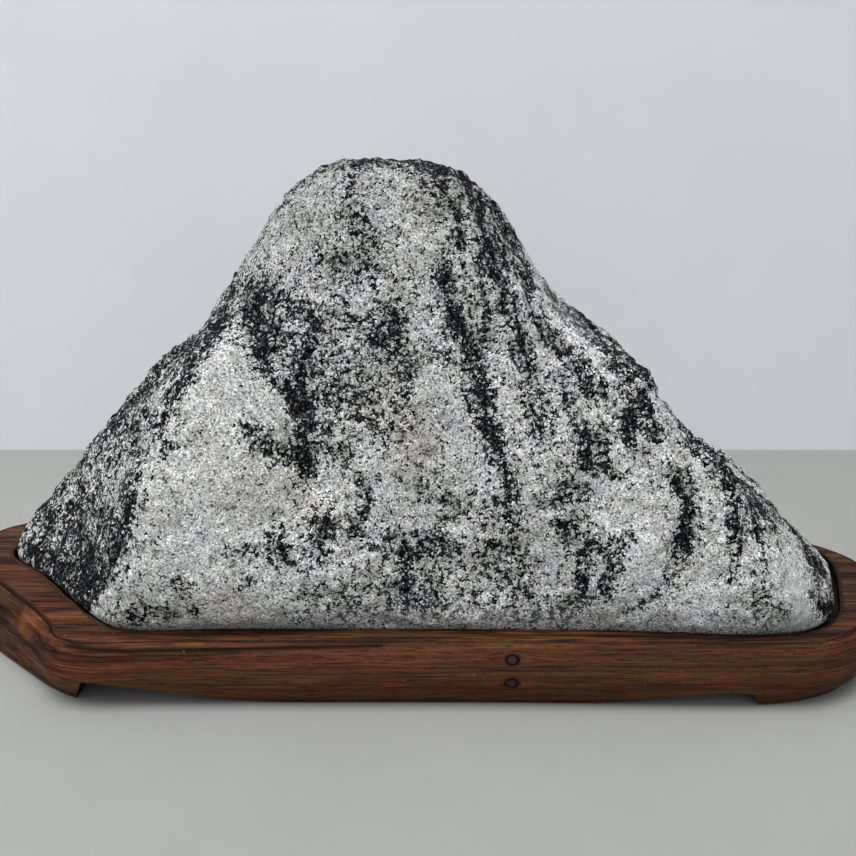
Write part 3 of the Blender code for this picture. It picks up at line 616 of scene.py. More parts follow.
def gneiss_material(settings):
    """Coarse banded gneiss, weathered by water and never polished.

    Pale quartz and feldspar grains 0.75 mm wide, about the finest that still show, lie beside
    black biotite and hornblende, which gather in clumps and in streaks along the rock's sheets.
    The broken grains are matt, the palest few painted as glints of light off cleavage faces, and
    the softer dark ones sit slightly deeper.
    """
    material, tree, shader = new_material("weathered banded gneiss")
    place = add_node(tree, "TexCoord").outputs["Object"]

    # Grain outlines wander by about half a grain.
    wander = add_node(tree, "TexNoise", inputs={
        "Vector": place, "Scale": 0.7 / settings.grain_size, "Detail": 1.0})
    centred = add_node(tree, "VectorMath", {"operation": "SUBTRACT"}, {
        0: wander.outputs["Color"], 1: (0.5, 0.5, 0.5)})
    moved = add_node(tree, "VectorMath", {"operation": "MULTIPLY_ADD"}, {
        0: centred.outputs[0], 1: (1.4 * settings.grain_size,) * 3, 2: place})
    grains = add_node(tree, "TexVoronoi", inputs={
        "Vector": moved.outputs[0], "Scale": 1.0 / settings.grain_size})
    grain = add_node(tree, "SeparateColor", inputs={"Color": grains.outputs["Color"]})

    # Each grain is wholly dark or pale, so the clumps are read at the grain's own centre.
    clumps = add_node(tree, "TexNoise", inputs={
        "Vector": grains.outputs["Position"], "Scale": 1.0 / settings.clump_size,
        "Detail": 2.0, "Roughness": 0.6, "Lacunarity": 2.1})
    spread = add_node(tree, "MapRange", {"clamp": False}, {
        "Value": clumps.outputs["Fac"], "From Min": 0.32, "From Max": 0.68})
    single = add_node(tree, "Math", {"operation": "MULTIPLY"}, {
        0: grain.outputs["Red"], 1: 0.42})
    clumped = add_node(tree, "Math", {"operation": "MULTIPLY_ADD"}, {
        0: spread.outputs["Result"], 1: 0.52, 2: single.outputs[0]})

    # Dark flakes fill the seams between pale knots about 3 mm wide, and so join into a net.
    knots = add_node(tree, "TexVoronoi", {"feature": "DISTANCE_TO_EDGE"}, {
        "Vector": grains.outputs["Position"], "Scale": 1.0 / settings.knot_size})
    seam = add_node(tree, "MapRange", inputs={
        "Value": knots.outputs["Distance"], "From Max": 0.34, "To Min": -0.15, "To Max": 0.21})
    lot = add_node(tree, "Math", {"operation": "ADD"}, {
        0: clumped.outputs[0], 1: seam.outputs["Result"]})

    # Streaks along the rock's sheets, about 3 mm wide and 30 mm long.
    sheets = add_node(tree, "Attribute", {"attribute_name": "sheets"})
    streaks = add_node(tree, "TexNoise", inputs={
        "Vector": sheets.outputs["Vector"], "Scale": 1.0, "Detail": 3.0, "Roughness": 0.6})
    lean = add_node(tree, "MapRange", {"clamp": False}, {
        "Value": streaks.outputs["Fac"], "From Min": 0.3, "From Max": 0.7,
        "To Min": 0.5, "To Max": -0.5})
    banding = add_node(tree, "Attribute", {"attribute_name": "banding"})
    share = add_node(tree, "Attribute", {"attribute_name": "dark_level"})
    level = add_node(tree, "Math", {"operation": "MULTIPLY_ADD"}, {
        0: lean.outputs["Result"], 1: banding.outputs["Fac"], 2: share.outputs["Fac"]})
    over = add_node(tree, "Math", {"operation": "SUBTRACT"}, {
        0: level.outputs[0], 1: lot.outputs[0]})
    dark = add_node(tree, "MapRange", {"interpolation_type": "SMOOTHSTEP"}, {
        "Value": over.outputs[0], "From Min": -0.07, "From Max": 0.07}).outputs["Result"]

    # Pale grains run from glassy grey quartz to white feldspar; the rare near-white ones are painted glints
    # off cleavage faces.
    pale = (*settings.pale_mineral, 1.0)
    pale_grain = add_node(tree, "ValToRGB", inputs={"Fac": grain.outputs["Green"]}, stops=(
        (0.0, "#606263"), (0.14, "#8E908F"), (0.32, "#AEB0AF"),
        (0.55, pale), (0.8, "#D6D7D5"), (0.92, "#E9EAE9"),
        (1.0, "#FAFAFA")))
    dark_grain = add_node(tree, "ValToRGB", inputs={"Fac": grain.outputs["Blue"]}, stops=(
        (0.0, "#000000"), (0.3, "#050506"), (0.55, (*settings.dark_mineral, 1.0)),
        (0.8, "#222527"), (0.93, "#424547"), (1.0, "#646768")))
    cloud = add_node(tree, "TexNoise", inputs={
        "Vector": place, "Scale": 1.0 / (14 * MM), "Detail": 3.0, "Roughness": 0.6})
    tone = add_node(tree, "ValToRGB", inputs={"Fac": cloud.outputs["Fac"]}, stops=(
        (0.3, "#D9DDDC"), (0.42, "#F0EEE9"), (0.54, "#FFFFFF"),
        (0.7, "#F3F6FA")))
    tinted = add_node(tree, "Mix", TINT, {
        "Factor": 1.0, FIRST: pale_grain.outputs["Color"], SECOND: tone.outputs["Color"]})
    # Grey weathering with painted shade on the top, iron stain and lichen tint the pale grains, and dark
    # neighbours stain them grey.
    for name, tint in (("patina_and_shade", "#C4C5C4"), ("cream", "#F8F1DA"), ("green", "#E6F0E4"),
                       ("stained", "#8C8E8F")):
        amount = add_node(tree, "Attribute", {"attribute_name": name})
        tinted = add_node(tree, "Mix", TINT, {
            "Factor": amount.outputs["Fac"], FIRST: tinted.outputs[MIXED], SECOND: linear(tint)})
    mixed = add_node(tree, "Mix", BLEND, {
        "Factor": dark, FIRST: tinted.outputs[MIXED], SECOND: dark_grain.outputs["Color"]})
    smooth = add_node(tree, "Attribute", {"attribute_name": "smooth"})
    veil = add_node(tree, "Math", {"operation": "MULTIPLY"}, {0: smooth.outputs["Fac"], 1: 0.7})
    colour = add_node(tree, "Mix", BLEND, {
        "Factor": veil.outputs[0], FIRST: mixed.outputs[MIXED], SECOND: linear("#A9ADB1")})

    # Grains stand out by up to half a millimetre; dark ones are worn a little lower.
    rounded = add_node(tree, "Math", {"operation": "MULTIPLY_ADD"}, {
        0: grains.outputs["Distance"], 1: -0.8, 2: 1.0})
    uneven = add_node(tree, "Math", {"operation": "MULTIPLY_ADD"}, {
        0: grain.outputs["Red"], 1: 0.5, 2: rounded.outputs[0]})
    height = add_node(tree, "Math", {"operation": "MULTIPLY_ADD"}, {
        0: dark, 1: -0.45, 2: uneven.outputs[0]})
    rough = add_node(tree, "Math", {"operation": "SUBTRACT"}, {0: 1.0, 1: veil.outputs[0]})
    bump = add_node(tree, "Bump", inputs={
        "Strength": rough.outputs[0], "Distance": 0.5 * MM, "Height": height.outputs[0]})
    matt = add_node(tree, "MapRange", inputs={
        "Value": grain.outputs["Blue"], "To Min": 0.5, "To Max": 0.85})

    tree.links.new(colour.outputs[MIXED], shader.inputs["Base Color"])
    tree.links.new(matt.outputs["Result"], shader.inputs["Roughness"])
    tree.links.new(bump.outputs["Normal"], shader.inputs["Normal"])
    shader.inputs["IOR"].default_value = 1.54
    shader.inputs["Specular IOR Level"].default_value = 0.03
    return material


def minerals(places, normals):
    """Share of dark grains and of pale patches at every vertex, and all that the material reads."""
    height = places[:, 2] - STAND_TOP
    front = np.clip((0.75 - normals[:, 1]) / 0.4, 0.0, 1.0)
    back = 1.0 - front

    # The marks' edges wander, so none reads as a drawn line.
    x = places[:, 0] + 1.8 * noise_at(places, 11.0, 3.0) + 1.6 * noise_at(places, 4.5, 9.0)
    climb = height + 1.8 * noise_at(places, 11.0, 5.0) + 1.6 * noise_at(places, 4.5, 7.0)
    # On the two ends they wander further, so none runs straight across.
    ends = np.clip((np.abs(normals[:, 0]) - 0.4) / 0.25, 0.0, 1.0)
    ends *= np.clip((normals[:, 1] + 0.35) / 0.35, 0.0, 1.0)
    x += 9.0 * ends * noise_at(places, 26.0, 14.0)
    climb += 16.0 * ends * noise_at(places, 26.0, 15.0)
    pale = front * gathered(x, climb, PALE_FRONT) + back * gathered(x, climb, PALE_BACK)
    dark = front * gathered(x, climb, DARK_FRONT) + back * gathered(x, climb, DARK_BACK)

    # The end facet is dark right up to its sharp edge, and mottled.
    edge = np.interp(height, *zip(*((h, at) for at, h in ARRIS)))
    wavy = places[:, 0] + 1.5 * noise_at(places, 6.0, 3.0)
    facet = front * np.clip((edge - wavy) / 2.5 + 0.5, 0.0, 1.0) * np.clip((150 - height) / 25, 0, 1)
    facet_dark = np.interp(climb, *zip(*FACET_SHARE)) * (1.0 - gathered(x, climb, FACET_PALE))
    facet_dark = np.clip(facet_dark + 0.55 * noise_at(places, 9.0, 12.0), 0.0, 0.96)
    dark = 1.0 - (1.0 - dark) * (1.0 - facet * facet_dark)
    dark = np.clip(dark * (1.0 + 0.3 * noise_at(places, 7.0, 6.0)), 0.0, 1.0)
    pale = pale * (1.0 - facet)
    bare = BARE_SHARE + 0.05 * noise_at(places, 30.0, 2.0)
    bare += 0.06 * np.clip(height / 100 - 1, 0.0, 1.0)
    share = 1.0 - (1.0 - bare * (1.0 - pale)) * (1.0 - dark)
    level = np.where(share < 0.5, np.sqrt(share / 2), 1.0 - np.sqrt((1.0 - share) / 2))

    across = sheet_position(places[:, 0], height) + 12.0 * back + 5.0 * noise_at(places, 40.0, 4.0)
    banding = (0.12 + 0.26 * share) * (1.0 - 0.75 * pale) * (1.0 - 0.6 * facet)
    banding += front * gathered(x, climb, BANDED_FRONT)
    banding *= 1.0 - front * gathered(x, climb, EVEN_FRONT)
    return share, pale, {
        "dark_level": level,
        "stained": np.clip((level - 0.35) / 0.5, 0.0, 1.0) * 0.65 * (1.0 - 0.8 * facet),
        "banding": banding,
        "sheets": np.column_stack((across / STREAK_WIDTH, height / STREAK_LENGTH,
                                   places[:, 1] / STREAK_LENGTH)),
        "patina_and_shade": front * gathered(x, climb, PATINA_AND_SHADE_FRONT) + 0.4 * back,
        "smooth": front * gathered(x, climb, SMOOTH_FRONT),
        "cream": front * gathered(x, climb, CREAM_FRONT),
        "green": front * gathered(x, climb, GREEN_FRONT),
    }


def stone_relief(places, share, pale, banding, sheets, pitting):
    """How far the weathered surface stands out at every vertex, in mm."""
    height = places[:, 2] - STAND_TOP
    foot_fade = np.clip((height - 0.5) / 5.0, 0.0, 1.0)

    # Dark sheets weather a little deeper, and the whole surface is pitted and granular.
    streak = np.array([noise.noise(Vector(place)) for place in sheets * (0.8, 1.0, 1.0)])
    rise = 1.0 * noise_at(places, 5.2, 1.0) + 0.8 * noise_at(places, 2.8, 6.0)
    rise += 0.9 * noise_at(places, 13.0, 8.0) + 0.8 * banding * streak - 0.6 * share
    rise *= (1.0 - 0.35 * pale) * pitting * foot_fade
    for _, swell, half_width, strongest, path in SWELLS:
        away = np.hypot(away_from(places[:, 0], height, path) / half_width,
                        (places[:, 1] - strongest) / SWELL_REACH)
        rise += foot_fade * swell * np.exp(-away ** 2)
    return rise


class SCHOLARS_ROCK_OT_stone(bpy.types.Operator):
    """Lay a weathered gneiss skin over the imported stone"""

    bl_idname = "scholars_rock.stone"
    bl_label = "Make the stone"

    def execute(self, context):
        settings = context.scene.scholars_rock_stone
        skin = skin_of_stone(settings.skin_pitch)
        mesh = skin.data
        places, normals = read_places(mesh), read_normals(mesh)
        share, pale, marks = minerals(places, normals)
        for name, values in marks.items():
            write_attribute(mesh, name, values)

        rise = stone_relief(places, share, pale, marks["banding"], marks["sheets"],
                            settings.pitting / MM)
        moved = places + normals * rise[:, None]
        moved[:, 2] = np.minimum(moved[:, 2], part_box("stone")[1].z / MM)
        write_places(mesh, moved)

        mesh.materials.clear()
        mesh.materials.append(gneiss_material(settings))
        mesh.shade_smooth()
        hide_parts("stone")
        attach(skin, "root")
        return {"FINISHED"}


# ---------------------------------------------------------------- the stand

class StandSettings(bpy.types.PropertyGroup):
    """Sizes and colours of the stand."""

    outline_pitch: bpy.props.FloatProperty(
        name="Outline pitch", description="Distance between points round the stand",
        default=2.0 * MM, subtype="DISTANCE", unit="LENGTH")
    groove_depth: bpy.props.FloatProperty(
        name="Groove depth", description="Depth of the groove round the top face",
        default=1.5 * MM, subtype="DISTANCE", unit="LENGTH")
    groove_half_width: bpy.props.FloatProperty(
        name="Groove half width", description="Half the width of the groove",
        default=0.9 * MM, subtype="DISTANCE", unit="LENGTH")
    tool_marks: bpy.props.FloatProperty(
        name="Tool marks", description="Depth of the chisel's marks",
        default=0.35 * MM, subtype="DISTANCE", unit="LENGTH")
    heartwood: bpy.props.FloatVectorProperty(
        name="Heartwood", description="Colour of the stained wood between its dark lines",
        default=linear("#482E1D")[:3], subtype="COLOR")
    grain_line: bpy.props.FloatVectorProperty(
        name="Grain lines", description="Colour of the dark lines of the grain",
        default=linear("#2E1D13")[:3], subtype="COLOR")


def outline_normals(outline):
    """Unit normals of a closed anticlockwise outline, pointing outwards."""
    along = np.roll(outline, -1, axis=0) - np.roll(outline, 1, axis=0)
    normals = np.column_stack((along[:, 1], -along[:, 0]))
    return normals / np.linalg.norm(normals, axis=1, keepdims=True)


def ring_at(outline, height):
    """An outline laid at one height."""
    return np.column_stack((outline, np.full(len(outline), height)))


def pocket_outline():
    """The stone's outline where it passes the stand's top face, with room round it."""
    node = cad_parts["stone"].data
    places = read_places(node)
    rim = np.unique(np.round(places[np.abs(places[:, 2] - STAND_TOP) < 0.05, :2], 3), axis=0)
    middle = rim.mean(axis=0)
    reach = (rim - middle) / np.ptp(rim, axis=0)
    outline = spline(rim[np.argsort(np.arctan2(reach[:, 1], reach[:, 0]))], 6, closed=True)
    right = np.clip((outline[:, 0] - RIGHT_END) / RIGHT_FADE, 0.0, 1.0)
    room = POCKET_CLEARANCE + (POCKET_CLEARANCE_RIGHT - POCKET_CLEARANCE) * right
    return outline + outline_normals(outline) * room[:, None]


def angles_round(outline, middle, half):
    """Angle of each point of an outline seen from its middle, on an oval of its proportions."""
    reach = (outline - middle) / half
    return np.arctan2(reach[:, 1], reach[:, 0])


def matched(inner, outer):
    """Points on the inner outline that face the points of the outer one."""
    low, high = outer.min(axis=0), outer.max(axis=0)
    middle, half = (low + high) / 2, (high - low) / 2
    angles = angles_round(inner, middle, half)
    order = np.argsort(angles)
    wanted = angles_round(outer, middle, half)
    return np.column_stack([np.interp(wanted, angles[order], inner[order, axis], period=2 * math.pi)
                            for axis in (0, 1)])


def lofted(name, rings):
    """A closed object through rings of equal count: a circle is drawn, then extruded ring by ring."""
    count = len(rings[0])
    bpy.ops.object.select_all(action="DESELECT")
    bpy.ops.mesh.primitive_circle_add(vertices=count, radius=0.1, fill_type="NOTHING")
    thing = bpy.context.object
    thing.name = name
    thing.data.name = name
    bpy.ops.object.mode_set(mode="EDIT")
    bpy.ops.mesh.select_all(action="SELECT")
    bpy.ops.mesh.edge_face_add()
    for _ in rings[1:]:
        bpy.ops.mesh.extrude_region_move(TRANSFORM_OT_translate={"value": (0.0, 0.0, MM)})
    bpy.ops.object.mode_set(mode="OBJECT")
    flat = read_places(thing.data)
    level = np.rint((flat[:, 2] - flat[:, 2].min())).astype(int)
    turn = np.arctan2(flat[:, 1] + ZERO_Y, flat[:, 0] + ZERO_X)
    start = turn[level == 0]
    for number, ring in enumerate(rings):
        at = np.flatnonzero(level == number)
        around = np.rint((turn[at] - start.min()) / (2 * math.pi) * count).astype(int) % count
        flat[at] = ring[around]
    write_places(thing.data, flat)
    select_only(thing)
    bpy.ops.object.mode_set(mode="EDIT")
    bpy.ops.mesh.select_all(action="SELECT")
    bpy.ops.mesh.normals_make_consistent(inside=False)
    bpy.ops.object.mode_set(mode="OBJECT")
    return thing


def groove_line(settings):
    """The groove's line seen from above, with the reaches of the waist and foot along it."""
    corners = np.array(STAND_OUTLINE)
    spans = np.linalg.norm(np.roll(corners, -1, axis=0) - corners, axis=1)
    steps = np.maximum(np.rint(spans * MM / settings.outline_pitch).astype(int), 2)
    table = spline(corners, steps, closed=True)
    return table[:, :2], table[:, 2], table[:, 3]


def stand_rings(settings):
    """Rings of the stand from its foot, up its side and over the groove, down into the pocket."""
    outline, waist, foot = groove_line(settings)
    normals = outline_normals(outline)
    depth, half = settings.groove_depth / MM, settings.groove_half_width / MM

    lines = [(foot - FOOT_CHAMFER, 0.0), (foot - FOOT_EDGE, FOOT_EDGE)]
    for share, height in spline(STAND_FLANK, FLANK_STEPS):
        lines.append((foot + share * (waist - foot), height))
    flank_top = (1.0, STAND_TOP - STAND_FLANK[-1][1])
    for share, down in spline((flank_top,) + STAND_SHOULDER, SHOULDER_STEPS)[1:]:
        lines.append((share * waist, STAND_TOP - down))
    # Over the groove: its outer wall, its floor and its inner wall, then on to the ledge.
    middle = np.zeros_like(waist)
    lines.append((0.09 * waist, STAND_TOP - 0.5 * depth))
    lines.append((middle, STAND_TOP - depth))
    lines.append((middle - 0.55 * half, STAND_TOP - 0.5 * depth))
    lines.append((middle - half, STAND_TOP - GROOVE_EASE))
    lines.append((middle - half - GROOVE_LIP, STAND_TOP))
    rings = [ring_at(outline + normals * reach[:, None], height) for reach, height in lines]

    rim = matched(pocket_outline(), outline)
    inner = outline - normals * (half + GROOVE_LIP)
    for share in np.linspace(0.0, 1.0, LEDGE_STEPS + 1)[1:]:
        rings.append(ring_at(inner + (rim - inner) * share, STAND_TOP))
    outward = outline_normals(rim)
    for out, down in POCKET_WALL:
        rings.append(ring_at(rim + outward * out, STAND_TOP - down))
    return rings


def cut_arch(stand, profile):
    """Cut one arch through the stand from front to back."""
    underside = spline(profile[1:-1], ARCH_STEPS)
    below = [(profile[-1][0], -ARCH_OVERRUN), (profile[0][0], -ARCH_OVERRUN)]
    outline = np.array([profile[0], *underside, profile[-1], *below])
    rings = [np.column_stack((outline[:, 0], np.full(len(outline), y), outline[:, 1]))
             for y in ARCH_CUT]
    tool = lofted("arch_tool", rings)
    apply_modifier(stand, "BOOLEAN", operation="DIFFERENCE", solver="EXACT", object=tool)
    bpy.data.objects.remove(tool, do_unlink=True)


def wood_material(settings):
    """Hardwood plank, carved by hand with flat chisels, stained dark and rubbed with wax.

    Long grain runs along the stand in dark lines 2 to 4 mm apart, with fibres and pores between
    them. The stain is uneven, and painted shade darkens the groove, the ledge, the pocket and the
    inside of the arches against the lighter sides; a painted highlight in the colour of bare wood lies
    on the left corner's facet, where the stain is rubbed thin. The thin old wax leaves a low satin gloss.
    """
    material, tree, shader = new_material("carved stained hardwood")
    place = add_node(tree, "TexCoord").outputs["Object"]
    grain = add_node(tree, "Attribute", {"attribute_name": "grain"})

    # Each layer of the grain: length and width of its lines, detail and roughness.
    layers = {}
    for name, length, width, detail, rough in (
            ("broad", 190, 7.0, 3.0, 0.55), ("lines", 75, 1.5, 3.0, 0.6),
            ("fibres", 24, 0.55, 1.0, 0.5), ("pores", 8, 0.5, 0.0, 0.5), ("hue", 130, 9.0, 2.0, 0.5)):
        scaled = add_node(tree, "VectorMath", {"operation": "MULTIPLY"}, {
            0: grain.outputs["Vector"],
            1: (1.0 / (length * MM), 1.0 / (2.2 * width * MM), 1.0 / (width * MM))})
        layers[name] = add_node(tree, "TexNoise", inputs={
            "Vector": scaled.outputs[0], "Scale": 1.0, "Detail": detail,
            "Roughness": rough}).outputs["Fac"]

    fine = add_node(tree, "Math", {"operation": "MULTIPLY"}, {0: layers["fibres"], 1: 0.32})
    streaky = add_node(tree, "Math", {"operation": "MULTIPLY_ADD"}, {
        0: layers["lines"], 1: 0.38, 2: fine.outputs[0]})
    mixed = add_node(tree, "Math", {"operation": "MULTIPLY_ADD"}, {
        0: layers["broad"], 1: 0.30, 2: streaky.outputs[0]})
    centred = add_node(tree, "Math", {"operation": "SUBTRACT"}, {0: mixed.outputs[0], 1: 0.5})
    strength = add_node(tree, "Attribute", {"attribute_name": "figure"})
    figure = add_node(tree, "Math", {"operation": "MULTIPLY_ADD", "use_clamp": True}, {
        0: centred.outputs[0], 1: strength.outputs["Fac"], 2: 0.5})
    wood = add_node(tree, "ValToRGB", inputs={"Fac": figure.outputs[0]}, stops=(
        (0.0, "#1A0F08"), (0.26, (*settings.grain_line, 1.0)),
        (0.52, (*settings.heartwood, 1.0)), (0.78, "#5D3C24"), (1.0, "#764B2B")))
    hue = add_node(tree, "ValToRGB", inputs={"Fac": layers["hue"]}, stops=(
        (0.38, "#FFE2DA"), (0.5, "#FFF6EE"), (0.62, "#F0F4D8")))
    hued = add_node(tree, "Mix", TINT, {
        "Factor": 1.0, FIRST: wood.outputs["Color"], SECOND: hue.outputs["Color"]})
    pore = add_node(tree, "MapRange", {"interpolation_type": "SMOOTHSTEP"}, {
        "Value": layers["pores"], "From Min": 0.26, "From Max": 0.38, "To Min": 0.6, "To Max": 0.0})
    pored = add_node(tree, "Mix", BLEND, {
        "Factor": pore.outputs["Result"], FIRST: hued.outputs[MIXED], SECOND: linear("#17100B")})
    # A painted highlight in the colour of bare wood on the left corner's facet, with the stain rubbed thin.
    worn_and_lit = add_node(tree, "Attribute", {"attribute_name": "worn_and_lit"})
    bared_and_lit = add_node(tree, "Mix", BLEND, {
        "Factor": worn_and_lit.outputs["Fac"], FIRST: pored.outputs[MIXED], SECOND: linear("#86531F")})
    tone = add_node(tree, "Attribute", {"attribute_name": "tone"})
    # Painted shade darkens the faces inside the arches.
    arch_shade = add_node(tree, "Attribute", {"attribute_name": "arch_shade"})
    lit = add_node(tree, "Math", {"operation": "MULTIPLY_ADD"}, {
        0: arch_shade.outputs["Fac"], 1: -0.8, 2: 1.0})
    # Fine dust in the open grain, in flecks under a millimetre wide.
    flecks = add_node(tree, "TexNoise", inputs={
        "Vector": place, "Scale": 1.0 / (0.9 * MM), "Detail": 1.0})
    dusty = add_node(tree, "MapRange", inputs={
        "Value": flecks.outputs["Fac"], "From Min": 0.3, "From Max": 0.7,
        "To Min": 0.80, "To Max": 1.20})
    dulled = add_node(tree, "Math", {"operation": "MULTIPLY"}, {
        0: dusty.outputs["Result"], 1: lit.outputs[0]})
    shade = add_node(tree, "Math", {"operation": "MULTIPLY"}, {
        0: tone.outputs["Fac"], 1: dulled.outputs[0]})
    toned = add_node(tree, "VectorMath", {"operation": "SCALE"}, {
        0: bared_and_lit.outputs[MIXED], "Scale": shade.outputs[0]})
    colour = toned.outputs[0]

    # Two small knots, each a dark ring round a dull olive heart, broken up by the grain.
    front = add_node(tree, "Attribute", {"attribute_name": "front"})
    ragged = add_node(tree, "TexNoise", inputs={
        "Vector": place, "Scale": 1.0 / (2.4 * MM), "Detail": 2.0})
    for x, height, radius in KNOTS:
        flat = add_node(tree, "VectorMath", {"operation": "MULTIPLY"}, {
            0: place, 1: (0.8, 0.0, 1.0)})
        off = add_node(tree, "VectorMath", {"operation": "DISTANCE"}, {
            0: flat.outputs[0], 1: ((x + ZERO_X) * MM * 0.8, 0.0, height * MM)})
        share = add_node(tree, "MapRange", inputs={
            "Value": off.outputs["Value"], "From Max": 2.0 * radius * MM})
        uneven = add_node(tree, "Math", {"operation": "MULTIPLY_ADD"}, {
            0: ragged.outputs["Fac"], 1: 0.26, 2: share.outputs["Result"]})
        ring = add_node(tree, "ValToRGB", inputs={"Fac": uneven.outputs[0]}, stops=(
            (0.1, "#4A3827"), (0.3, "#2C2016"), (0.38, "#3E2E20"),
            (0.46, "#0C0705"), (0.56, "#120B07"), (0.68, "#33221A")))
        near = add_node(tree, "MapRange", {"interpolation_type": "SMOOTHSTEP"}, {
            "Value": uneven.outputs[0], "From Min": 0.6, "From Max": 0.85,
            "To Min": 1.0, "To Max": 0.0})
        here = add_node(tree, "Math", {"operation": "MULTIPLY"}, {
            0: near.outputs["Result"], 1: front.outputs["Fac"]})
        colour = add_node(tree, "Mix", BLEND, {
            "Factor": here.outputs[0], FIRST: colour, SECOND: ring.outputs["Color"]}).outputs[MIXED]

    # Rare specks of stone dust, under half a millimetre wide.
    specks = add_node(tree, "TexVoronoi", inputs={"Vector": place, "Scale": 1.0 / (9 * MM)})
    speck = add_node(tree, "MapRange", inputs={
        "Value": specks.outputs["Distance"], "From Min": 0.025, "From Max": 0.05,
        "To Min": 0.6, "To Max": 0.0})
    dusted = add_node(tree, "Mix", BLEND, {
        "Factor": speck.outputs["Result"], FIRST: colour, SECOND: linear("#8E877A")})

    height = add_node(tree, "Math", {"operation": "MULTIPLY_ADD"}, {
        0: pore.outputs["Result"], 1: -0.5, 2: streaky.outputs[0]})
    bump = add_node(tree, "Bump", inputs={
        "Strength": 0.8, "Distance": 0.8 * MM, "Height": height.outputs[0]})
    satin = add_node(tree, "MapRange", inputs={
        "Value": figure.outputs[0], "To Min": 0.75, "To Max": 0.55})
    tree.links.new(dusted.outputs[MIXED], shader.inputs["Base Color"])
    tree.links.new(satin.outputs["Result"], shader.inputs["Roughness"])
    tree.links.new(bump.outputs["Normal"], shader.inputs["Normal"])
    shader.inputs["IOR"].default_value = 1.5
    shader.inputs["Specular IOR Level"].default_value = 0.08
    return material


def inside_arches(mesh):
    """One for every face that the arches cut, where painted shade darkens the wood."""
    middles = np.array([tuple(face.center) for face in mesh.polygons]) / MM - (ZERO_X, ZERO_Y, 0.0)
    facing = np.array([tuple(face.normal) for face in mesh.polygons])
    inside = np.zeros(len(middles), dtype=bool)
    for profile in (LEFT_ARCH, RIGHT_ARCH):
        ends = [place for place, _ in profile]
        tallest = max(height for _, height in profile)
        inside |= ((middles[:, 0] > min(ends) - 0.2) & (middles[:, 0] < max(ends) + 0.2)
                   & (middles[:, 2] < tallest + 0.2)
                   & (np.abs(facing[:, 1]) < 0.4))
    return inside.astype(float)


def seam_depth(places, normals):
    """Depth at every vertex, in mm, of the seams that the gouge left along the front."""
    x, y, height = places.T
    front = np.clip(-2.0 * normals[:, 1] + 0.2, 0.0, 1.0) * (y < 40)
    return sum(depth * np.exp(-(away_from(x, height, path) / half) ** 2)
               for _, depth, half, path in SEAMS) * front


def chisel_marks(places, normals, depth):
    """Low ridges along the grain on the sides and calm flats on top, as a chisel leaves them."""
    x, y, height = places.T
    side = np.clip(1.0 - np.abs(normals[:, 2]) * 0.8, 0.0, 1.0)
    side *= 1.0 + 1.3 * np.exp(-((x - CORNER_X) / 34) ** 2) * (y < 70)
    long_cut = noise_at(places / (38.0, 4.2, 4.2), 1.0, 2.0)
    short_cut = noise_at(places / (13.0, 6.0, 6.0), 1.0, 5.0)
    edge = np.clip((height - 1.2) / 3.0, 0.0, 1.0)
    return depth * (0.75 * long_cut + 0.4 * short_cut) * side * edge


def grain_field(places, top):
    """Where the wood's grain is read: it follows the outline on the sides and parts round the knots."""
    x, _, height = places.T
    grain = places * np.column_stack((np.ones_like(x), 0.15 + 0.85 * top, np.ones_like(x)))
    for knot_x, knot_height, _ in KNOTS:
        run, climb = x - knot_x, height - knot_height
        push = np.exp(-(run / 9.0) ** 2 - (climb / 5.0) ** 2)
        grain[:, 2] -= push * np.sign(climb) * 1.6
    return grain * MM


def stain_and_shade_tone(places, top, seams, groove):
    """Tone of the stand: painted shade on the top faces, in the groove with its dirt, in the pocket and
    where the stone meets the ledge; a painted highlight on the groove's lip; stain marks on top, and darker
    gouge seams.
    """
    x, y, height = places.T
    # Painted shade: the top faces are darker than the sides. The sides are also lighter in the middle and
    # darker at the right end, and the top is darker towards its right end.
    tone = 0.88 * top + 1.16 * (1.0 - top)
    tone *= 1.0 + (1.0 - top) * np.interp(x, (-170, -130, -30, 90), (0.0, 0.10, 0.10, -0.08))
    tone *= 1.0 - 0.32 * top * np.clip((x - 120) / 60, 0.0, 1.0)

    # Painted shade where the stone's foot meets the ledge, strongest in the gap at the right end, and
    # painted shade on the pocket's wall below it.
    pocket = pocket_outline()
    rim = away_from(x, y, [tuple(point) for point in np.vstack((pocket, pocket[:1]))])
    off = away_from(x, y, [tuple(point) for point in np.vstack((groove, groove[:1]))])
    inner = (height > 31.5) & (off > 2.5)
    darkening = 0.3 + 0.55 * np.clip((x - 150) / 20, 0.0, 1.0)
    tone *= 1.0 - darkening * np.exp(-(rim / 1.5) ** 2) * inner
    tone *= np.where((height > 20) & (height < 31.8) & (rim < 2.0), 0.2, 1.0)

    # Painted shade and dirt darken the groove, fading out to the right; a painted highlight lightens its
    # outer lip, more to the right.
    shallow = np.clip((height - 28.0) / 3.0, 0.0, 1.0)
    faded = 1.0 - 0.55 * np.clip((x + 20) / 90, 0.0, 1.0)
    tone *= 1.0 - 0.85 * faded * shallow * np.exp(-(off / 0.9) ** 2)
    lip = np.exp(-((off - 1.7) / 0.6) ** 2) * (1.0 - top) * shallow
    tone *= 1.0 + (0.12 + 0.25 * np.clip((x - 100) / 40, 0.0, 1.0)) * lip
    for _, change, half, path in TOP_MARKS:
        tone *= 1.0 + change * np.exp(-(away_from(x, y, path) / half) ** 2) * (height > 18)
    return tone * (1.0 - np.clip(1.2 * seams, 0.0, 0.75))


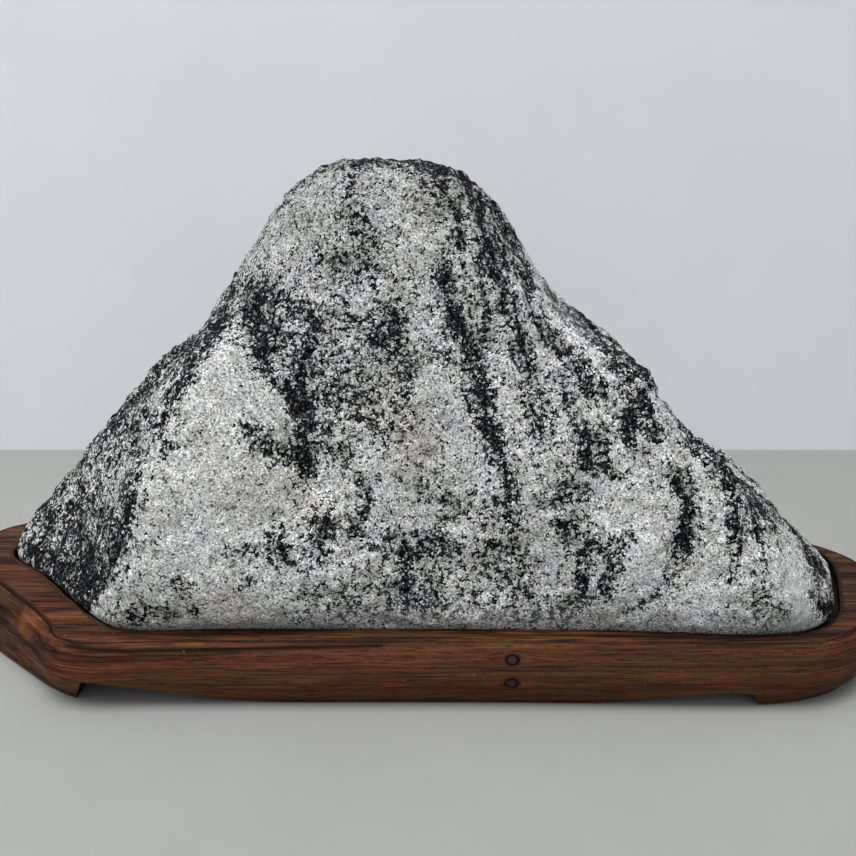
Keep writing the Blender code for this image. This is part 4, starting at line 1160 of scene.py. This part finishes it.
class SCHOLARS_ROCK_OT_stand(bpy.types.Operator):
    """Carve the stand with its groove, pocket, arches and tool marks"""

    bl_idname = "scholars_rock.stand"
    bl_label = "Carve the stand"

    def execute(self, context):
        settings = context.scene.scholars_rock_stand
        stand = lofted("carved_stand", stand_rings(settings))
        cut_arch(stand, LEFT_ARCH)
        cut_arch(stand, RIGHT_ARCH)
        mesh = stand.data
        places, normals = read_places(mesh), read_normals(mesh)
        x, y, height = places.T

        seams = seam_depth(places, normals)
        rise = chisel_marks(places, normals, settings.tool_marks / MM) - seams
        moved = places + normals * rise[:, None]
        low, high = (np.array(corner) / MM - (ZERO_X, ZERO_Y, 0.0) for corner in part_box("stand"))
        write_places(mesh, np.clip(moved, low, high))

        top = np.clip((normals[:, 2] - 0.6) / 0.3, 0.0, 1.0) * (height > 25)
        corner = np.exp(-((x - CORNER_X) / 40) ** 2) * (y < 80)
        rubbed = np.clip(0.75 + 0.9 * noise_at(places / (3.0, 1.0, 1.0), 4.0, 2.0), 0.0, 1.0)
        write_attribute(mesh, "grain", grain_field(places, top))
        write_attribute(mesh, "front", (normals[:, 1] < -0.2).astype(float))
        write_attribute(mesh, "figure", 4.6 * top + (2.0 + 2.4 * corner) * (1.0 - top))
        write_attribute(mesh, "tone", stain_and_shade_tone(places, top, seams, groove_line(settings)[0]))
        write_attribute(mesh, "arch_shade", inside_arches(mesh), domain="FACE")
        write_attribute(mesh, "worn_and_lit", gathered(x, y, WORN_CORNER_HIGHLIGHT) * (height > 20) * rubbed)

        mesh.materials.clear()
        mesh.materials.append(wood_material(settings))
        mesh.shade_smooth()
        mesh.set_sharp_from_angle(angle=math.radians(50))
        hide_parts("stand")
        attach(stand, "root")
        return {"FINISHED"}


# ---------------------------------------------------------------- the stage

# The stage, in metres, and the camera's sensor in millimetres.
DESK_SIZE = 8.0
WALL_HEIGHT = 2.4
CAMERA_PLACE = (0.011354, -0.482772, 0.2330)
CAMERA_TILT = math.radians(75.5)
SENSOR_WIDTH = 36.0


class StageSettings(bpy.types.PropertyGroup):
    """The desk, the wall behind it, the light and the camera."""

    desk: bpy.props.FloatVectorProperty(
        name="Desk", description="Colour of the desk", default=linear("#939490")[:3], subtype="COLOR")
    wall: bpy.props.FloatVectorProperty(
        name="Wall", description="Colour of the wall", default=linear("#CFD1D6")[:3], subtype="COLOR")
    wall_distance: bpy.props.FloatProperty(
        name="Wall distance", description="How far behind the stand's middle the wall is",
        default=343 * MM, subtype="DISTANCE", unit="LENGTH")
    lens: bpy.props.FloatProperty(
        name="Lens", description="The camera's focal length in millimetres", default=42.0)
    lamp_power: bpy.props.FloatProperty(
        name="Lamp", description="Power of the large soft overhead lamp", default=82.0, unit="POWER")


def painted(name, colour, mottle):
    """Plain matt paint with a faint mottle, so a large flat face isn't dead."""
    material, tree, shader = new_material(name)
    place = add_node(tree, "TexCoord").outputs["Object"]
    cloud = add_node(tree, "TexNoise", inputs={
        "Vector": place, "Scale": 9.0, "Detail": 5.0, "Roughness": 0.6})
    faint = add_node(tree, "MapRange", inputs={
        "Value": cloud.outputs["Fac"], "From Min": 0.35, "From Max": 0.65,
        "To Min": 1.0 - mottle, "To Max": 1.0})
    toned = add_node(tree, "VectorMath", {"operation": "SCALE"}, {
        0: tuple(colour), "Scale": faint.outputs["Result"]})
    tree.links.new(toned.outputs[0], shader.inputs["Base Color"])
    shader.inputs["Roughness"].default_value = 0.8
    shader.inputs["Specular IOR Level"].default_value = 0.2
    return material, tree, shader


def add_lamp(name, place, aim, size, power, colour):
    """A soft square lamp that looks at a point."""
    bpy.ops.object.select_all(action="DESELECT")
    bpy.ops.object.light_add(type="AREA", location=place)
    lamp = bpy.context.object
    lamp.name = name
    lamp.rotation_euler = (Vector(aim) - Vector(place)).to_track_quat("-Z", "Y").to_euler()
    lamp.data.size = size
    lamp.data.energy = power
    lamp.data.color = linear(colour)[:3]


class SCHOLARS_ROCK_OT_stage(bpy.types.Operator):
    """Set up the desk, the wall, the light and the camera"""

    bl_idname = "scholars_rock.stage"
    bl_label = "Set the stage"

    def execute(self, context):
        settings = context.scene.scholars_rock_stage
        bpy.ops.object.select_all(action="DESELECT")
        bpy.ops.mesh.primitive_plane_add(size=DESK_SIZE)
        desk = context.object
        desk.name = "desk"
        desk.data.materials.append(painted("painted desk", settings.desk, 0.05)[0])

        bpy.ops.object.select_all(action="DESELECT")
        bpy.ops.mesh.primitive_plane_add(size=DESK_SIZE)
        wall = context.object
        wall.name = "wall"
        corners = np.array([(side * DESK_SIZE / 2, settings.wall_distance, height)
                            for height in (0.0, WALL_HEIGHT) for side in (-1, 1)])
        wall.data.vertices.foreach_set("co", corners.ravel())
        wall.data.update()
        material, tree, shader = painted("painted wall", settings.wall, 0.03)
        # The wall has a face on one side only, so it never hides the object from behind.
        geometry = add_node(tree, "NewGeometry")
        clear = add_node(tree, "BsdfTransparent")
        one_sided = add_node(tree, "MixShader", inputs={
            0: geometry.outputs["Backfacing"], 1: shader.outputs["BSDF"], 2: clear.outputs["BSDF"]})
        output = next(node for node in tree.nodes if node.bl_idname == "ShaderNodeOutputMaterial")
        tree.links.new(one_sided.outputs["Shader"], output.inputs["Surface"])
        wall.data.materials.append(material)

        add_lamp("overhead", (-0.14, -0.85, 2.8), (0.0, 0.0, 0.1), 2.0, settings.lamp_power, "#FFFFFF")
        add_lamp("left_fill", (-1.5, -0.5, 0.9), (-0.1, 0.0, 0.1), 1.2, 9.0, "#FFFFFF")
        add_lamp("front_fill", (0.1, -1.6, 0.9), (0.0, 0.0, 0.1), 1.4, 8.0, "#F8F9FF")
        world = bpy.data.worlds.new("soft room")
        context.scene.world = world
        world.use_nodes = True
        sky = world.node_tree.nodes["Background"]
        sky.inputs["Color"].default_value = linear("#F1F3F6")
        sky.inputs["Strength"].default_value = 0.45

        bpy.ops.object.select_all(action="DESELECT")
        bpy.ops.object.camera_add(location=CAMERA_PLACE, rotation=(CAMERA_TILT, 0.0, 0.0))
        camera = context.object
        camera.name = "camera"
        camera.data.lens = settings.lens
        camera.data.sensor_width = SENSOR_WIDTH
        context.scene.camera = camera
        context.scene.view_settings.view_transform = "Standard"
        return {"FINISHED"}


# ---------------------------------------------------------------- the panel

class SCHOLARS_ROCK_PT_panel(bpy.types.Panel):
    """Lists the pieces and their settings"""

    bl_idname = "SCHOLARS_ROCK_PT_panel"
    bl_label = "Scholar's rock"
    bl_space_type = "VIEW_3D"
    bl_region_type = "UI"
    bl_category = "Scholar's rock"

    def draw(self, context):
        scene = context.scene
        for title, settings, operator in (
                ("Stone", scene.scholars_rock_stone, SCHOLARS_ROCK_OT_stone),
                ("Stand", scene.scholars_rock_stand, SCHOLARS_ROCK_OT_stand),
                ("Stage", scene.scholars_rock_stage, SCHOLARS_ROCK_OT_stage)):
            box = self.layout.box()
            box.label(text=title)
            for name in settings.__annotations__:
                box.prop(settings, name)
            box.operator(operator.bl_idname)


CLASSES = (
    StoneSettings,
    StandSettings,
    StageSettings,
    SCHOLARS_ROCK_OT_stone,
    SCHOLARS_ROCK_OT_stand,
    SCHOLARS_ROCK_OT_stage,
    SCHOLARS_ROCK_PT_panel,
)


def register():
    for thing in CLASSES:
        bpy.utils.register_class(thing)
    bpy.types.Scene.scholars_rock_stone = bpy.props.PointerProperty(type=StoneSettings)
    bpy.types.Scene.scholars_rock_stand = bpy.props.PointerProperty(type=StandSettings)
    bpy.types.Scene.scholars_rock_stage = bpy.props.PointerProperty(type=StageSettings)


def unregister():
    del bpy.types.Scene.scholars_rock_stage
    del bpy.types.Scene.scholars_rock_stand
    del bpy.types.Scene.scholars_rock_stone
    for thing in reversed(CLASSES):
        bpy.utils.unregister_class(thing)


def main():
    """Make every piece in order."""
    register()
    bpy.ops.scholars_rock.stone()
    bpy.ops.scholars_rock.stand()
    bpy.ops.scholars_rock.stage()


if __name__ == "__main__":
    main()
